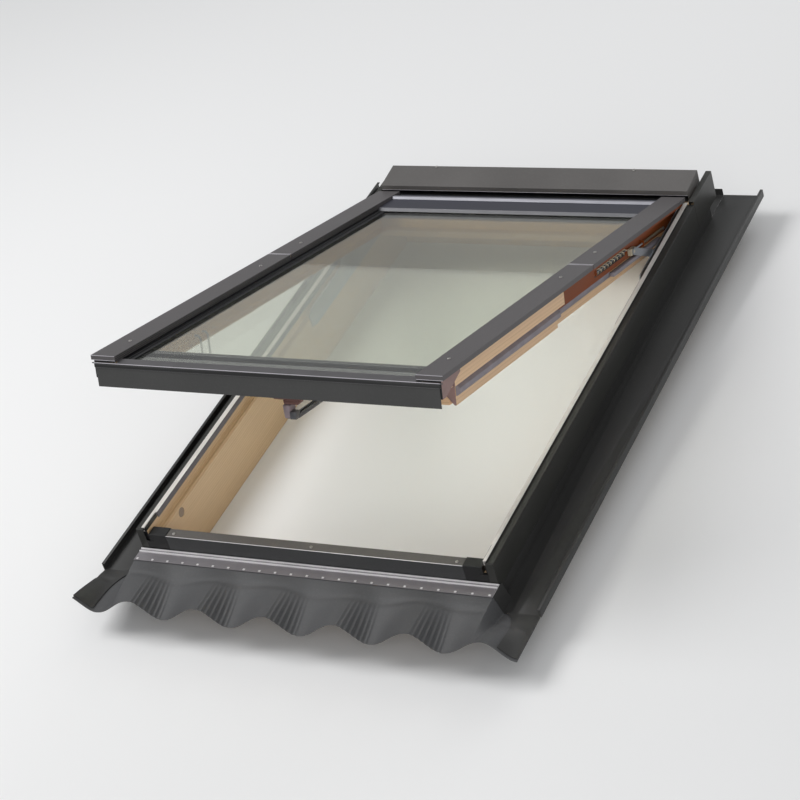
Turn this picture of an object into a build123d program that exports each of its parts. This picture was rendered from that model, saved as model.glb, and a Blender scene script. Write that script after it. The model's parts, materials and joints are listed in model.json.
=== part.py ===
from build123d import *
import math
import os

os.makedirs("parts", exist_ok=True)

# Working axes: X across the roof, Y up the slope from the front of the foot cover,
# Z out of the roof from the top of the frame's side covers. The sash, the arms and the
# links are drawn shut, and are turned out about the top hinge when they are written.

# Timber frame
FRAME_WIDTH = 772.0
FRAME_LENGTH = 1235.0
FRAME_START = 5.0
ROOM_Z = -150.0
BATTEN_Z = -105.0
JAMB_TOP_Z = -6.0
JAMB_WIDTH = 29.0
LIP_WIDTH = 18.0
LEDGE_Z = -27.0
HEAD_WIDTH = 50.0
HEAD_CHAMFER = 6.0
SILL_WIDTH = 47.0
SILL_LIP_WIDTH = 17.0
SILL_LIP_Z = -14.0
SILL_LEDGE_Z = -40.0
LINING_GROOVE_WIDTH = 12.0
LINING_GROOVE_DEPTH = 9.0
LINING_INSET = 6.0
SHADOW_GROOVE = 2.0
PLUG_Y = 108.0
PLUG_Z = -45.0
PLUG_R = 10.0
PLUG_DEPTH = 8.0
PLUG_SETBACK = 0.6

# Sheet metal round the frame
SHEET = 1.2
SIDE_COVER_WIDTH = 16.5
SIDE_COVER_PROUD = 4.0
SIDE_COVER_DEPTH = 60.0
UPPER_COVER_STEP = 4.0
UPPER_COVER_Z = 7.0
UPPER_COVER_OVERHANG = 42.0
UPPER_COVER_SETBACK = 3.2
TRIM_INSET = 1.8
TRIM_TOP_Z = 4.8
TRIM_FLANGE = 6.5
TRIM_FOOT = 7.0
SEAL_TOP_Z = 2.5
SEAL_LIP = 1.8
SEAL_DEPTH = 4.0
FOOT_COVER_Z = -12.0
FOOT_COVER_DEPTH = 23.4
FOOT_COVER_RETURN = 12.0
STRIP_Z = -48.0
STRIP_REACH = 36.0
STRIP_SIDE = 6.0
STRIP_UPSTAND = 25.0
BEAD_WIDTH = 3.2
BEAD_HEIGHT = 2.0
CLINCH_PITCH = 35.0
CLINCH_WIDTH = 4.4
CLINCH_LENGTH = 4.0
CLINCH_HEIGHT = 1.0
GUTTER_Z = -88.0
GUTTER_WIDTH = 93.4
GUTTER_EDGE = 16.0
GUTTER_HEM = 6.0
GUTTER_START = -32.6
GUTTER_GAP = 0.6
TONGUE_END = -144.0
TONGUE_SIDE = 19.0
FLASHING_REACH = 90.0
HOOD_SETBACK = 62.5
HOOD_DEPTH = 72.8
HOOD_FRONT_Z = 23.6
HOOD_BACK_Z = 30.0
HOOD_LIP = 12.0

# Corner blocks of the foot cover
CORNER_REACH = 32.0
CORNER_DEPTH = 25.0
CORNER_TOP_Z = -10.5
FIN_TOP_Z = 3.0

# Pleated apron that follows the roof tiles
TILE_PITCH = 151.6
TILE_DEPTH = 40.0
TILE_CREST_X = -38.0
STEEP_FLANK = 60.0
PLEATS = 7
PLEAT_DEPTH = 3.0
GENTLE_STEPS = 6
APRON_START = -33.0
APRON_END = -150.0
APRON_THICKNESS = 1.5
WING_RUN = 12.0

# Hinges, measured on the shut window
HINGE_SETBACK = 74.8
HINGE_Z = -32.0
HINGE_PIN_R = 5.0
HINGE_HEAD = 3.0
OPEN_ANGLE = 18.7
LINK_LENGTH = 142.6
LINK_WIDTH = 16.0
LINK_PIN_R = 4.0
SHOE_PIN_R = 3.5
PIVOT_DISTANCE = 526.9
PIN_CLEARANCE = 0.05
SLIDE_CLEARANCE = 0.3

# Hardware between jamb and sash, from the jamb inwards
PLATE_THICKNESS = 2.2
PLATE_LENGTH = 438.2
PLATE_BOTTOM_Z = -56.0
PLATE_NOSE_Z = -22.0
PLATE_NOSE = 21.0
PLATE_STEP = 173.0
PLATE_LOW_Z = -12.0
PLATE_TOP_Z = -2.0
PLATE_GAP = 0.6
LINK_THICKNESS = 2.0
ARM_SPACE = 16.0
WEB_THICKNESS = 2.2
WEB_NECK = 20.0
WEB_EYE_R = 14.0
ARM_TAIL = 124.3
ARM_BOTTOM_Z = -43.0
ARM_LIP_Z = -4.0
PIVOT_PLATE_INSET = 6.0
PIVOT_PLATE_TAIL = 104.0
PIVOT_PLATE_NOSE = 55.0
PIVOT_PLATE_Z = (-36.0, 11.0)
PIVOT_PLATE_CUT = 12.0
GROOVE_DEPTH = 5.3
GROOVE_R = 15.0
GROOVE_SPAN = (170.0, 370.0)
TONGUE_SPAN = (318.0, 348.0)
TONGUE_WIDTH = 3.4
SLIDER_THICKNESS = 3.0
SLIDER_TAIL = 14.0
SLIDER_NOSE = 32.0
SLIDER_Z = (-40.0, 12.0)
ROD_INSET = 9.0
ROD_R = 2.0
ROD_TAIL = 8.0
GUIDE_FROM_HINGE = 212.0
GUIDE_THICKNESS = 2.0
GUIDE_HALF = 7.0
NUT_FROM_HINGE = 100.0
NUT_R = 3.6
NUT_LENGTH = 5.0
WIRE_R = 0.7
COIL_R = 3.1
COILS = 14
COIL_SIDES = 8
WIRE_SIDES = 6
SHOE_LENGTH = 24.0
SHOE_HEIGHT = 14.0
SHOE_GAP = 0.6

# Sash, shut
SASH_TOP_Z = 15.0
SASH_START = -30.0
SASH_SETBACK = 27.2
SASH_BOTTOM_Z = -74.0
CHAMFER_Z = -47.0
STILE_CLEARANCE = 11.0
STILE_THICKNESS = 28.0
WING_CLEARANCE = 3.0
WING_BOTTOM_Z = -25.0
WING_ROOT_Z = -9.0
FOOT_ROOT_Z = -36.0
GLASS_BITE = 12.0
EDGE_CLEARANCE = 3.0
PANE = 4.0
PANE_GAP = 16.0
PANE_STEP = 26.0
GLASS_TOP_Z = -2.0
GLASS_BED = 0.3
SPACER_WIDTH = 9.0
BEAD_FACE = 9.0
TOP_RAIL = 76.0
COVER_LAP = 4.7
COVER_INSET = 0.5
COVER_SKIRT = 9.5
COVER_INNER_SKIRT = 12.0
COVER_SETBACK = 19.7
COVER_SPLIT_GAP = 3.0
FASCIA_TOP_Z = -8.2
FASCIA_BOTTOM_Z = -47.2
FASCIA_RETURN = 22.0
CLAMP_TOP_Z = 4.5
CLAMP_EDGE_Z = 1.2
CLAMP_REACH = 19.0
CLAMP_PROUD = 1.5
PROFILE_LIP = 28.0
PROFILE_Z = 6.6
RIDGE_Z = 13.5
RIDGE_START = 46.0
RIDGE_WIDTH = 8.0
CAP_END = 48.0
CAP_THICKNESS = 2.4
CAP_FOOT_Z = -30.0
CAP_TOP_Z = 5.2
CAP_NOSE = 14.0
FOOT_FRONT_Y = 26.0
FOOT_STEP = 24.0
FOOT_DEEP_Y = 60.0
FOOT_BACK_Y = 112.0
FOOT_SLOPE = 20.0
GASKET_Z = (-56.0, -34.0)
GASKET_CLEARANCE = 1.5

# Wire bail on the left stile
BAIL_Y = 245.0
BAIL_SPREAD = 28.0
BAIL_Z = (-88.0, -40.0)
BAIL_REACH = 12.0
BAIL_BEND = 5.0
BAIL_R = 2.2

# Handle and lock
HANDLE_Y = 75.0
SPINDLE_R = 4.0
BASE_LENGTH = 88.0
BASE_WIDTH = 26.0
BASE_THICKNESS = 6.0
COLLAR_LENGTH = 34.0
COLLAR_WIDTH = 24.0
COLLAR_THICKNESS = 8.0
EDGE_CHAMFER = 1.5
NECK_TOP_R = 10.0
NECK_END_R = 7.0
NECK_LENGTH = 30.0
LEVER_LENGTH = 102.0
LEVER_WIDTH = 17.0
LEVER_THICKNESS = 8.0
LEVER_HEEL = 13.0
LEVER_BITE = 2.0
CASE_HALF = 25.0
CASE_DEPTH = 26.0
CASE_TOP = 9.0
BOLT_HALF = 8.0
BOLT_Z = (-64.0, -56.0)
BOLT_LENGTH = 19.5
BOLT_SETBACK = 0.5
BOLT_PLAY = 0.15
BOLT_TRAVEL = 10.0
KEEPER_HALF = 30.0
KEEPER_THICKNESS = 2.0
KEEPER_MARGIN = 6.0
KEEPER_PLAY = 1.5

# Screws, by their places across the roof or up it
HOOD_SCREWS = (-258.0, 227.0)
FOOT_SCREWS = (-310.0, 0.0, 310.0)
FOOT_SCREW_Y = 10.0
SCREW_SETBACK = 4.0
ARM_SCREW_FROM_PIVOT = 87.7
SASH_SCREW_FROM_PIVOT = 83.3
FRONT_SCREW_Y = 59.0
SCREW_HEAD_R = 3.6
SCREW_HEAD_HEIGHT = 1.9
SCREW_HEAD_SIDES = 12
SCREW_HEAD_TAPER = 25.0

# Fixing to the roof battens
ANGLE_INSET = 180.0
ANGLE_LENGTH = 60.0
ANGLE_THICKNESS = 2.0
ANGLE_REACH = 76.0
ANGLE_HEIGHT = 45.0
ANGLE_HOLE_R = 3.0
ANGLE_HOLE_REACH = 39.0
ANGLE_FIT = 0.5

JAMB_X = FRAME_WIDTH / 2
LIP_X = JAMB_X - LIP_WIDTH
FACE_X = JAMB_X - JAMB_WIDTH
FRAME_END = FRAME_START + FRAME_LENGTH
SILL_END = FRAME_START + SILL_WIDTH
HEAD_START = FRAME_END - HEAD_WIDTH
ORIGIN_Y = FRAME_START + FRAME_LENGTH / 2
COVER_OUTER_X = JAMB_X + SIDE_COVER_PROUD
COVER_INNER_X = COVER_OUTER_X - SIDE_COVER_WIDTH
TRIM_X = LIP_X + TRIM_INSET
CORNER_X = FACE_X - CORNER_REACH
GUTTER_X = JAMB_X + GUTTER_GAP
GUTTER_OUT_X = JAMB_X + GUTTER_WIDTH
STRIP_HALF = JAMB_X + STRIP_SIDE

HINGE_Y = FRAME_END - HINGE_SETBACK
UPPER_COVER_START = HINGE_Y - UPPER_COVER_SETBACK
HOOD_START = FRAME_END - HOOD_SETBACK
HOOD_END = HOOD_START + HOOD_DEPTH
PIVOT_Y = HINGE_Y - PIVOT_DISTANCE
ARM_START_Y = PIVOT_Y - ARM_TAIL
SASH_END = HINGE_Y - SASH_SETBACK
COVER_END = HINGE_Y - COVER_SETBACK
GLASS_END = SASH_END - TOP_RAIL

PLATE_IN_X = FACE_X - PLATE_THICKNESS
LINK_OUT_X = PLATE_IN_X - PLATE_GAP
LINK_IN_X = LINK_OUT_X - LINK_THICKNESS
WEB_X = FACE_X - ARM_SPACE
WEB_OUT_X = WEB_X + WEB_THICKNESS
ARM_OUT_X = LIP_X - WING_CLEARANCE
PIVOT_PLATE_X = FACE_X - PIVOT_PLATE_INSET
GROOVE_FLOOR_X = WEB_OUT_X + GROOVE_DEPTH
ROD_X = FACE_X - ROD_INSET
STILE_OUT_X = FACE_X - STILE_CLEARANCE
STILE_IN_X = STILE_OUT_X - STILE_THICKNESS
STILE_WING_X = LIP_X - WING_CLEARANCE
STILE_SIDE_X = WEB_X - 1.0
GLASS_EDGE_X = STILE_IN_X + GLASS_BITE
REBATE_X = GLASS_EDGE_X + EDGE_CLEARANCE
COVER_IN_X = STILE_IN_X + COVER_INSET
COVER_OUT_X = LIP_X + COVER_LAP
HOOD_HALF = COVER_OUT_X + 0.1
FASCIA_HALF = STILE_WING_X - 1.0

LINK_PIN_Y = HINGE_Y - LINK_LENGTH
SHUT_SHOE_Y = HINGE_Y - 2 * LINK_LENGTH
REST_SHOE_Y = HINGE_Y - 2 * LINK_LENGTH * math.cos(math.radians(OPEN_ANGLE))
PIVOT_Z = SASH_TOP_Z + 0.5
COVER_UNDER_Z = SASH_TOP_Z - SHEET
ARM_TOP_Z = COVER_UNDER_Z - 0.2
PANE_UNDER_Z = GLASS_TOP_Z - PANE
BED_TOP_Z = PANE_UNDER_Z - GLASS_BED
GLASS_BOTTOM_Z = GLASS_TOP_Z - 2 * PANE - PANE_GAP
BED_Z = GLASS_BOTTOM_Z - GLASS_BED
HINGE = Axis((0, HINGE_Y, HINGE_Z), (1, 0, 0))
LINK_PIN = Axis((0, LINK_PIN_Y, HINGE_Z), (1, 0, 0))


def block(x0, x1, y0, y1, z0, z1):
    """A rectangular block between two corners."""
    return Solid.make_box(x1 - x0, y1 - y0, z1 - z0, Plane((x0, y0, z0)))


def bar(outline, along, start, end):
    """A straight bar of a plane outline, along "x" (outline in Y, Z) or "y" (outline in X, Z)."""
    if along == "x":
        points = [(start, a, b) for a, b in outline]
        reach = Vector(end - start, 0, 0)
    else:
        points = [(a, start, b) for a, b in outline]
        reach = Vector(0, end - start, 0)
    return Solid.extrude(Face(Wire.make_polygon(points)), reach)


def folded(path, thickness):
    """The outline of sheet folded along a path, with its thickness on the right of the path."""
    offset = []
    for index, (a, b) in enumerate(path):
        normals = []
        for first, second in ((index - 1, index), (index, index + 1)):
            if first >= 0 and second < len(path):
                run = (path[second][0] - path[first][0], path[second][1] - path[first][1])
                length = math.hypot(*run)
                normals.append((run[1] / length, -run[0] / length))
        n1, n2 = normals[0], normals[-1]
        scale = thickness / (1 + n1[0] * n2[0] + n1[1] * n2[1])
        offset.append((a + scale * (n1[0] + n2[0]), b + scale * (n1[1] + n2[1])))
    return list(path) + offset[::-1]


def cut_corners(y0, y1, z0, z1, cut):
    """The outline of a rectangle with its four corners cut off."""
    return [
        (y0 + cut, z0), (y1 - cut, z0), (y1, z0 + cut), (y1, z1 - cut),
        (y1 - cut, z1), (y0 + cut, z1), (y0, z1 - cut), (y0, z0 + cut),
    ]


def pin(x0, x1, y, z, radius):
    """A round pin along X."""
    return Solid.make_cylinder(radius, x1 - x0, Plane(origin=(x0, y, z), z_dir=(1, 0, 0)))


def post(x, y, z0, z1, radius):
    """A round post along Z."""
    return Solid.make_cylinder(radius, z1 - z0, Plane((x, y, z0)))


def mirrored(shape):
    """The same piece for the left side."""
    return mirror(shape, about=Plane.YZ)


def closed(faces):
    """A solid inside a closed skin of plane faces."""
    solid = Solid(Shell(faces))
    if solid.volume < 0:
        solid.reverse()
    return solid


def draped(upper, lower, thickness):
    """Sheet stretched between two lines of as many points, in plane triangles."""
    down = Vector(0, 0, -thickness)
    faces = []
    for a, b, c, d in zip(upper, upper[1:], lower, lower[1:]):
        for corners in ((a, b, c), (b, d, c)):
            faces.append(Face(Wire.make_polygon(list(corners))))
            faces.append(Face(Wire.make_polygon([corner + down for corner in corners[::-1]])))
    for row in (upper, lower):
        for a, b in zip(row, row[1:]):
            faces.append(Face(Wire.make_polygon([a, b, b + down, a + down])))
    for a, c in ((upper[0], lower[0]), (upper[-1], lower[-1])):
        faces.append(Face(Wire.make_polygon([a, c, c + down, a + down])))
    return closed(faces)


def write(name, *shapes, turned=False):
    """Write one node, with the sash side of the window turned out to its open angle."""
    placed = [shape.rotate(HINGE, -OPEN_ANGLE) if turned else shape for shape in shapes]
    placed = [shape.moved(Location((0, -ORIGIN_Y, -BATTEN_Z))) for shape in placed]
    solids = [solid for shape in placed for solid in shape.solids()]
    export_step(solids[0] if len(solids) == 1 else Compound(solids), f"parts/{name}.step")


def write_pair(name, shape, turned=False):
    """Write the right and the left piece of a pair."""
    write(f"{name}_right", shape, turned=turned)
    write(f"{name}_left", mirrored(shape), turned=turned)


def angle_rows():
    """Places of the fixing angles along the jambs."""
    return (FRAME_START + ANGLE_INSET, FRAME_END - ANGLE_INSET)


def make_jamb():
    """Right jamb: rebated for the sash, grooved for the lining, let in for the angles."""
    groove_in = FACE_X + LINING_INSET
    groove_out = groove_in + LINING_GROOVE_WIDTH
    groove_top = ROOM_Z + LINING_GROOVE_DEPTH
    shadow_z = LEDGE_Z - SHADOW_GROOVE
    outline = [
        (JAMB_X, JAMB_TOP_Z), (LIP_X, JAMB_TOP_Z), (LIP_X, LEDGE_Z), (FACE_X, LEDGE_Z),
        (FACE_X, shadow_z), (FACE_X + SHADOW_GROOVE, shadow_z),
        (FACE_X + SHADOW_GROOVE, shadow_z - SHADOW_GROOVE), (FACE_X, shadow_z - SHADOW_GROOVE),
        (FACE_X, ROOM_Z), (groove_in, ROOM_Z), (groove_in, groove_top),
        (groove_out, groove_top), (groove_out, ROOM_Z), (JAMB_X, ROOM_Z),
    ]
    jamb = bar(outline, "y", FRAME_START, FRAME_END)
    half = ANGLE_LENGTH / 2 + ANGLE_FIT
    for row in angle_rows():
        jamb -= block(JAMB_X - ANGLE_THICKNESS - ANGLE_FIT, JAMB_X, row - half, row + half,
                      BATTEN_Z - ANGLE_FIT, BATTEN_Z + ANGLE_HEIGHT + ANGLE_FIT)
    jamb -= pin(FACE_X, FACE_X + PLUG_DEPTH, PLUG_Y, PLUG_Z, PLUG_R)
    return jamb


def make_frame():
    """The timber frame with its plugs, fixing angles and lock keeper."""
    write_pair("jamb", make_jamb())
    groove_in = HEAD_START + LINING_INSET
    groove_out = groove_in + LINING_GROOVE_WIDTH
    groove_top = ROOM_Z + LINING_GROOVE_DEPTH
    head = bar([
        (HEAD_START, ROOM_Z), (HEAD_START, JAMB_TOP_Z - HEAD_CHAMFER),
        (HEAD_START + HEAD_CHAMFER, JAMB_TOP_Z), (FRAME_END, JAMB_TOP_Z), (FRAME_END, ROOM_Z),
        (groove_out, ROOM_Z), (groove_out, groove_top), (groove_in, groove_top), (groove_in, ROOM_Z),
    ], "x", -LIP_X, LIP_X)
    for side in (-1, 1):
        low, high = sorted((side * FACE_X, side * LIP_X))
        head -= block(low, high, HEAD_START, FRAME_END, ROOM_Z, LEDGE_Z)
    write("frame_head", head)

    lip_end = FRAME_START + SILL_LIP_WIDTH
    groove_end = SILL_END - LINING_INSET
    groove_start = groove_end - LINING_GROOVE_WIDTH
    sill = bar([
        (FRAME_START, ROOM_Z), (FRAME_START, SILL_LIP_Z), (lip_end, SILL_LIP_Z),
        (lip_end, SILL_LEDGE_Z), (SILL_END, SILL_LEDGE_Z), (SILL_END, ROOM_Z),
        (groove_end, ROOM_Z), (groove_end, groove_top), (groove_start, groove_top),
        (groove_start, ROOM_Z),
    ], "x", -FACE_X, FACE_X)
    keeper = block(-KEEPER_HALF, KEEPER_HALF, SILL_END - KEEPER_THICKNESS, SILL_END,
                   BOLT_Z[0] - KEEPER_MARGIN, BOLT_Z[1] + KEEPER_MARGIN)
    sill -= keeper
    slot_half = BOLT_HALF + KEEPER_PLAY
    slot_z = (BOLT_Z[0] - KEEPER_PLAY, BOLT_Z[1] + KEEPER_PLAY)
    slot_start = SILL_END - BOLT_TRAVEL - 2 * KEEPER_THICKNESS
    sill -= block(-slot_half, slot_half, slot_start, SILL_END, *slot_z)
    write("frame_sill", sill)
    keeper -= block(-slot_half, slot_half, slot_start, SILL_END + 1, *slot_z)
    write("lock_keeper", keeper)

    plug = pin(FACE_X + PLUG_SETBACK, FACE_X + PLUG_DEPTH, PLUG_Y, PLUG_Z, PLUG_R)
    write("jamb_plugs", plug, mirrored(plug))

    angles = []
    inner = JAMB_X - ANGLE_THICKNESS
    for row in angle_rows():
        ends = (row - ANGLE_LENGTH / 2, row + ANGLE_LENGTH / 2)
        angle = block(inner, inner + ANGLE_REACH, *ends, BATTEN_Z, BATTEN_Z + ANGLE_THICKNESS)
        angle += block(inner, JAMB_X, *ends, BATTEN_Z, BATTEN_Z + ANGLE_HEIGHT)
        angle -= post(JAMB_X + ANGLE_HOLE_REACH, row, BATTEN_Z - 1, BATTEN_Z + ANGLE_THICKNESS + 1,
                      ANGLE_HOLE_R)
        angles += [angle, mirrored(angle)]
    write("mounting_angles", *angles)


def make_side_covers():
    """Dark covers over the jambs, with the bright edge trims and the seals beside them."""
    cover = bar(folded([
        (COVER_INNER_X, JAMB_TOP_Z + SHEET + 0.4), (COVER_INNER_X, 0), (COVER_OUTER_X, 0),
        (COVER_OUTER_X, -SIDE_COVER_DEPTH),
    ], SHEET), "y", 0, UPPER_COVER_START)
    cover += block(COVER_INNER_X, COVER_OUTER_X, 0, SHEET, STRIP_Z, 0)
    write_pair("side_cover", cover)
    upper_in = COVER_INNER_X + UPPER_COVER_STEP
    upper = bar(folded([
        (upper_in, JAMB_TOP_Z + SLIDE_CLEARANCE), (upper_in, UPPER_COVER_Z),
        (COVER_OUTER_X, UPPER_COVER_Z), (COVER_OUTER_X, -SIDE_COVER_DEPTH),
    ], SHEET), "y", UPPER_COVER_START + SLIDE_CLEARANCE, FRAME_END + UPPER_COVER_OVERHANG)
    write("upper_side_covers", upper, mirrored(upper))

    trim = bar(folded([
        (TRIM_X + TRIM_FOOT, JAMB_TOP_Z), (TRIM_X, JAMB_TOP_Z), (TRIM_X, TRIM_TOP_Z),
        (TRIM_X + TRIM_FLANGE, TRIM_TOP_Z),
    ], SHEET), "y", 2, UPPER_COVER_START)
    write("edge_trims", trim, mirrored(trim))
    seal_out = TRIM_X - 0.1
    seal = bar([
        (LIP_X, JAMB_TOP_Z), (seal_out, JAMB_TOP_Z), (seal_out, SEAL_TOP_Z - SEAL_LIP),
        (LIP_X + 0.6, SEAL_TOP_Z), (LIP_X - SEAL_LIP / 2, SEAL_TOP_Z - 1),
        (LIP_X - SEAL_LIP, SEAL_TOP_Z - SEAL_DEPTH), (LIP_X - SEAL_LIP, JAMB_TOP_Z - SEAL_DEPTH + 1),
        (LIP_X, JAMB_TOP_Z - SEAL_DEPTH),
    ], "y", CAP_END + 2, UPPER_COVER_START)
    head_top = JAMB_TOP_Z - HEAD_CHAMFER
    head_seal = bar([
        (HEAD_START, head_top), (HEAD_START - SEAL_DEPTH, head_top - SEAL_DEPTH),
        (HEAD_START - SEAL_DEPTH, LEDGE_Z), (HEAD_START, LEDGE_Z - SEAL_DEPTH),
    ], "x", -FACE_X + PLATE_THICKNESS + 1, FACE_X - PLATE_THICKNESS - 1)
    write("frame_seals", seal, mirrored(seal), head_seal)


def make_foot_covers():
    """Foot cover, corner blocks and the strip that the apron is clinched to."""
    skirt_z = STRIP_Z + 0.6
    cover = bar(folded([
        (0, skirt_z), (0, FOOT_COVER_Z), (FOOT_COVER_DEPTH, FOOT_COVER_Z),
        (FOOT_COVER_DEPTH, FOOT_COVER_Z - FOOT_COVER_RETURN),
    ], SHEET), "x", -CORNER_X + 0.2, CORNER_X - 0.2)
    write("bottom_cover", cover)
    side_x = STILE_WING_X - 0.6
    front = FRAME_START - SHEET - 0.1
    corner = block(CORNER_X, FACE_X, 0, front, skirt_z, CORNER_TOP_Z)
    corner += block(FACE_X - 0.1, COVER_INNER_X - 0.3, 0, front, skirt_z, LEDGE_Z - 1)
    corner += block(CORNER_X, side_x, 0, CORNER_DEPTH, SILL_LIP_Z + 0.1, CORNER_TOP_Z)
    corner += block(FACE_X + 0.1, side_x, 0, CORNER_DEPTH, LEDGE_Z + 0.1, CORNER_TOP_Z)
    corner = chamfer(corner.edges().filter_by(Axis.X).group_by(Axis.Z)[-1], 1.2)
    fin = block(LIP_X + 0.1, TRIM_X - 0.1, FRAME_START, CAP_END, JAMB_TOP_Z, FIN_TOP_Z)
    write("corner_blocks", corner, mirrored(corner), fin, mirrored(fin))

    strip = block(-STRIP_HALF, STRIP_HALF, -STRIP_REACH, -0.3, STRIP_Z - SHEET, STRIP_Z)
    strip += block(-JAMB_X, JAMB_X, -1, FRAME_START, STRIP_Z - SHEET, STRIP_Z)
    strip += block(-FACE_X, FACE_X, FRAME_START - SHEET, FRAME_START, STRIP_Z, STRIP_Z + STRIP_UPSTAND)
    for start in (-STRIP_REACH / 8, -STRIP_REACH / 3):
        strip += bar([
            (start, STRIP_Z), (start + BEAD_WIDTH / 4, STRIP_Z + BEAD_HEIGHT),
            (start + 3 * BEAD_WIDTH / 4, STRIP_Z + BEAD_HEIGHT), (start + BEAD_WIDTH, STRIP_Z),
        ], "x", -STRIP_HALF, STRIP_HALF)
    clinches = int(STRIP_HALF // CLINCH_PITCH)
    for step in range(-clinches, clinches + 1):
        middle = step * CLINCH_PITCH
        strip += block(middle - CLINCH_WIDTH / 2, middle + CLINCH_WIDTH / 2, 2 - STRIP_REACH,
                       2 - STRIP_REACH + CLINCH_LENGTH, STRIP_Z, STRIP_Z + CLINCH_HEIGHT)
    write("sill_strip", strip)


def tile_line():
    """Points of the apron's lower edge: X and the drop below a tile crest."""
    waves = int(GUTTER_OUT_X // TILE_PITCH) + 2
    line = []
    for wave in range(-waves, waves):
        crest = TILE_CREST_X + wave * TILE_PITCH
        for step in range(2 * PLEATS):
            share = step / (2 * PLEATS)
            drop = TILE_DEPTH * (1 - math.cos(math.pi * share)) / 2
            fold = PLEAT_DEPTH if step % 2 else 0.0
            line.append((crest + STEEP_FLANK * share, drop - fold * math.sin(math.pi * share)))
        for step in range(GENTLE_STEPS):
            share = step / GENTLE_STEPS
            drop = TILE_DEPTH * (1 + math.cos(math.pi * share)) / 2
            line.append((crest + STEEP_FLANK + (TILE_PITCH - STEEP_FLANK) * share, drop))
    return [(x, drop) for x, drop in line if abs(x) <= GUTTER_OUT_X]


def make_apron():
    """Pleated skirt, flat under the strip and shaped to the tiles at its lower edge."""
    top_z = STRIP_Z - SHEET - 0.1
    wing_drop = top_z - GUTTER_Z + SHEET + 0.1
    upper, lower = [], []
    for x, drop in tile_line():
        wing = min(max((abs(x) - STRIP_HALF) / WING_RUN, 0), 1) * wing_drop
        upper.append(Vector(x, APRON_START, top_z - wing))
        lower.append(Vector(x, APRON_END, STRIP_Z - drop))
    write("apron", draped(upper, lower, APRON_THICKNESS))


def make_gutter(side):
    """One side gutter, with the tongue that laps the apron at its foot."""
    floor_z = GUTTER_Z - SHEET
    end = FRAME_END + FLASHING_REACH
    front = FRAME_START - SHEET - 0.2
    gutter = bar(folded([
        (GUTTER_OUT_X - GUTTER_HEM, GUTTER_Z + GUTTER_EDGE), (GUTTER_OUT_X, GUTTER_Z + GUTTER_EDGE),
        (GUTTER_OUT_X, floor_z), (GUTTER_X, floor_z), (GUTTER_X, LEDGE_Z + 5),
    ], SHEET), "y", GUTTER_START, end)
    gutter -= block(GUTTER_X - 1, GUTTER_X + 2, FRAME_END + 2, end + 1, GUTTER_Z, 0)
    gutter -= block(GUTTER_X - 1, GUTTER_X + 2, GUTTER_START - 1, front, GUTTER_Z, 0)
    gutter += block(FACE_X, GUTTER_X + SHEET, front, FRAME_START - 0.2, floor_z, STRIP_Z - SHEET - 0.2)
    if side < 0:
        gutter = mirrored(gutter)
    upper, lower = [], []
    for x, drop in tile_line():
        if side * x >= JAMB_X + TONGUE_SIDE:
            upper.append(Vector(x, GUTTER_START + 1, GUTTER_Z))
            share = (APRON_START - TONGUE_END) / (APRON_START - APRON_END)
            apron_z = GUTTER_Z - SHEET + (STRIP_Z - drop - GUTTER_Z + SHEET) * share
            lower.append(Vector(x, TONGUE_END, apron_z + SHEET + 0.2))
    return gutter + draped(upper, lower, SHEET)


def make_flashings():
    """Side gutters, the trough above the head and the hood."""
    write("gutter_right", make_gutter(1))
    write("gutter_left", make_gutter(-1))
    floor_z = GUTTER_Z - SHEET
    end = FRAME_END + FLASHING_REACH
    trough = bar(folded([
        (end, GUTTER_Z + GUTTER_EDGE), (end, floor_z), (FRAME_END + 1, floor_z),
        (FRAME_END + 1, JAMB_TOP_Z - HEAD_CHAMFER),
    ], SHEET), "x", -JAMB_X, JAMB_X)
    write("head_flashing", trough)

    hood = bar(folded([
        (HOOD_START, HOOD_FRONT_Z - HOOD_LIP), (HOOD_START, HOOD_FRONT_Z),
        (HOOD_END, HOOD_BACK_Z), (HOOD_END, JAMB_TOP_Z - 10),
    ], SHEET), "x", -HOOD_HALF, HOOD_HALF)
    cheek = [
        (HOOD_START + 2, JAMB_TOP_Z), (HOOD_START + 2, HOOD_FRONT_Z - 1),
        (HOOD_END - 0.5, HOOD_BACK_Z - 1), (HOOD_END - 0.5, JAMB_TOP_Z),
    ]
    hood += bar(cheek, "x", HOOD_HALF - SHEET, HOOD_HALF)
    hood += bar(cheek, "x", -HOOD_HALF, -HOOD_HALF + SHEET)
    hood += block(-HOOD_HALF, HOOD_HALF, HEAD_START + 1, HOOD_END - 0.5, JAMB_TOP_Z,
                  JAMB_TOP_Z + SHEET)
    write("hood", hood)


def screw(x, y, z):
    """A tapered screw head on a surface at height z."""
    outline = Plane((x, y, z)) * RegularPolygon(SCREW_HEAD_R, SCREW_HEAD_SIDES)
    return extrude(outline, SCREW_HEAD_HEIGHT, taper=SCREW_HEAD_TAPER)


def make_screws():
    """Screws that hold the covers: three rows on the frame, the arms and the sash."""
    hood_slope = (HOOD_BACK_Z - HOOD_FRONT_Z) / HOOD_DEPTH
    hood_y = HOOD_END - SCREW_SETBACK
    hood_z = HOOD_FRONT_Z + hood_slope * (hood_y + SCREW_HEAD_R - HOOD_START)
    frame = [screw(x, hood_y, hood_z) for x in HOOD_SCREWS]
    frame += [screw(x, FOOT_SCREW_Y, FOOT_COVER_Z) for x in FOOT_SCREWS]
    write("frame_screws", *frame)
    arm_rows = (PIVOT_Y + ARM_SCREW_FROM_PIVOT,)
    sash_rows = (PIVOT_Y - SASH_SCREW_FROM_PIVOT, FRONT_SCREW_Y)
    for name, rows in (("arm_screws", arm_rows), ("sash_screws", sash_rows)):
        group = [screw(side * WEB_X, y, SASH_TOP_Z) for y in rows for side in (-1, 1)]
        write(name, *group, turned=True)


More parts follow.
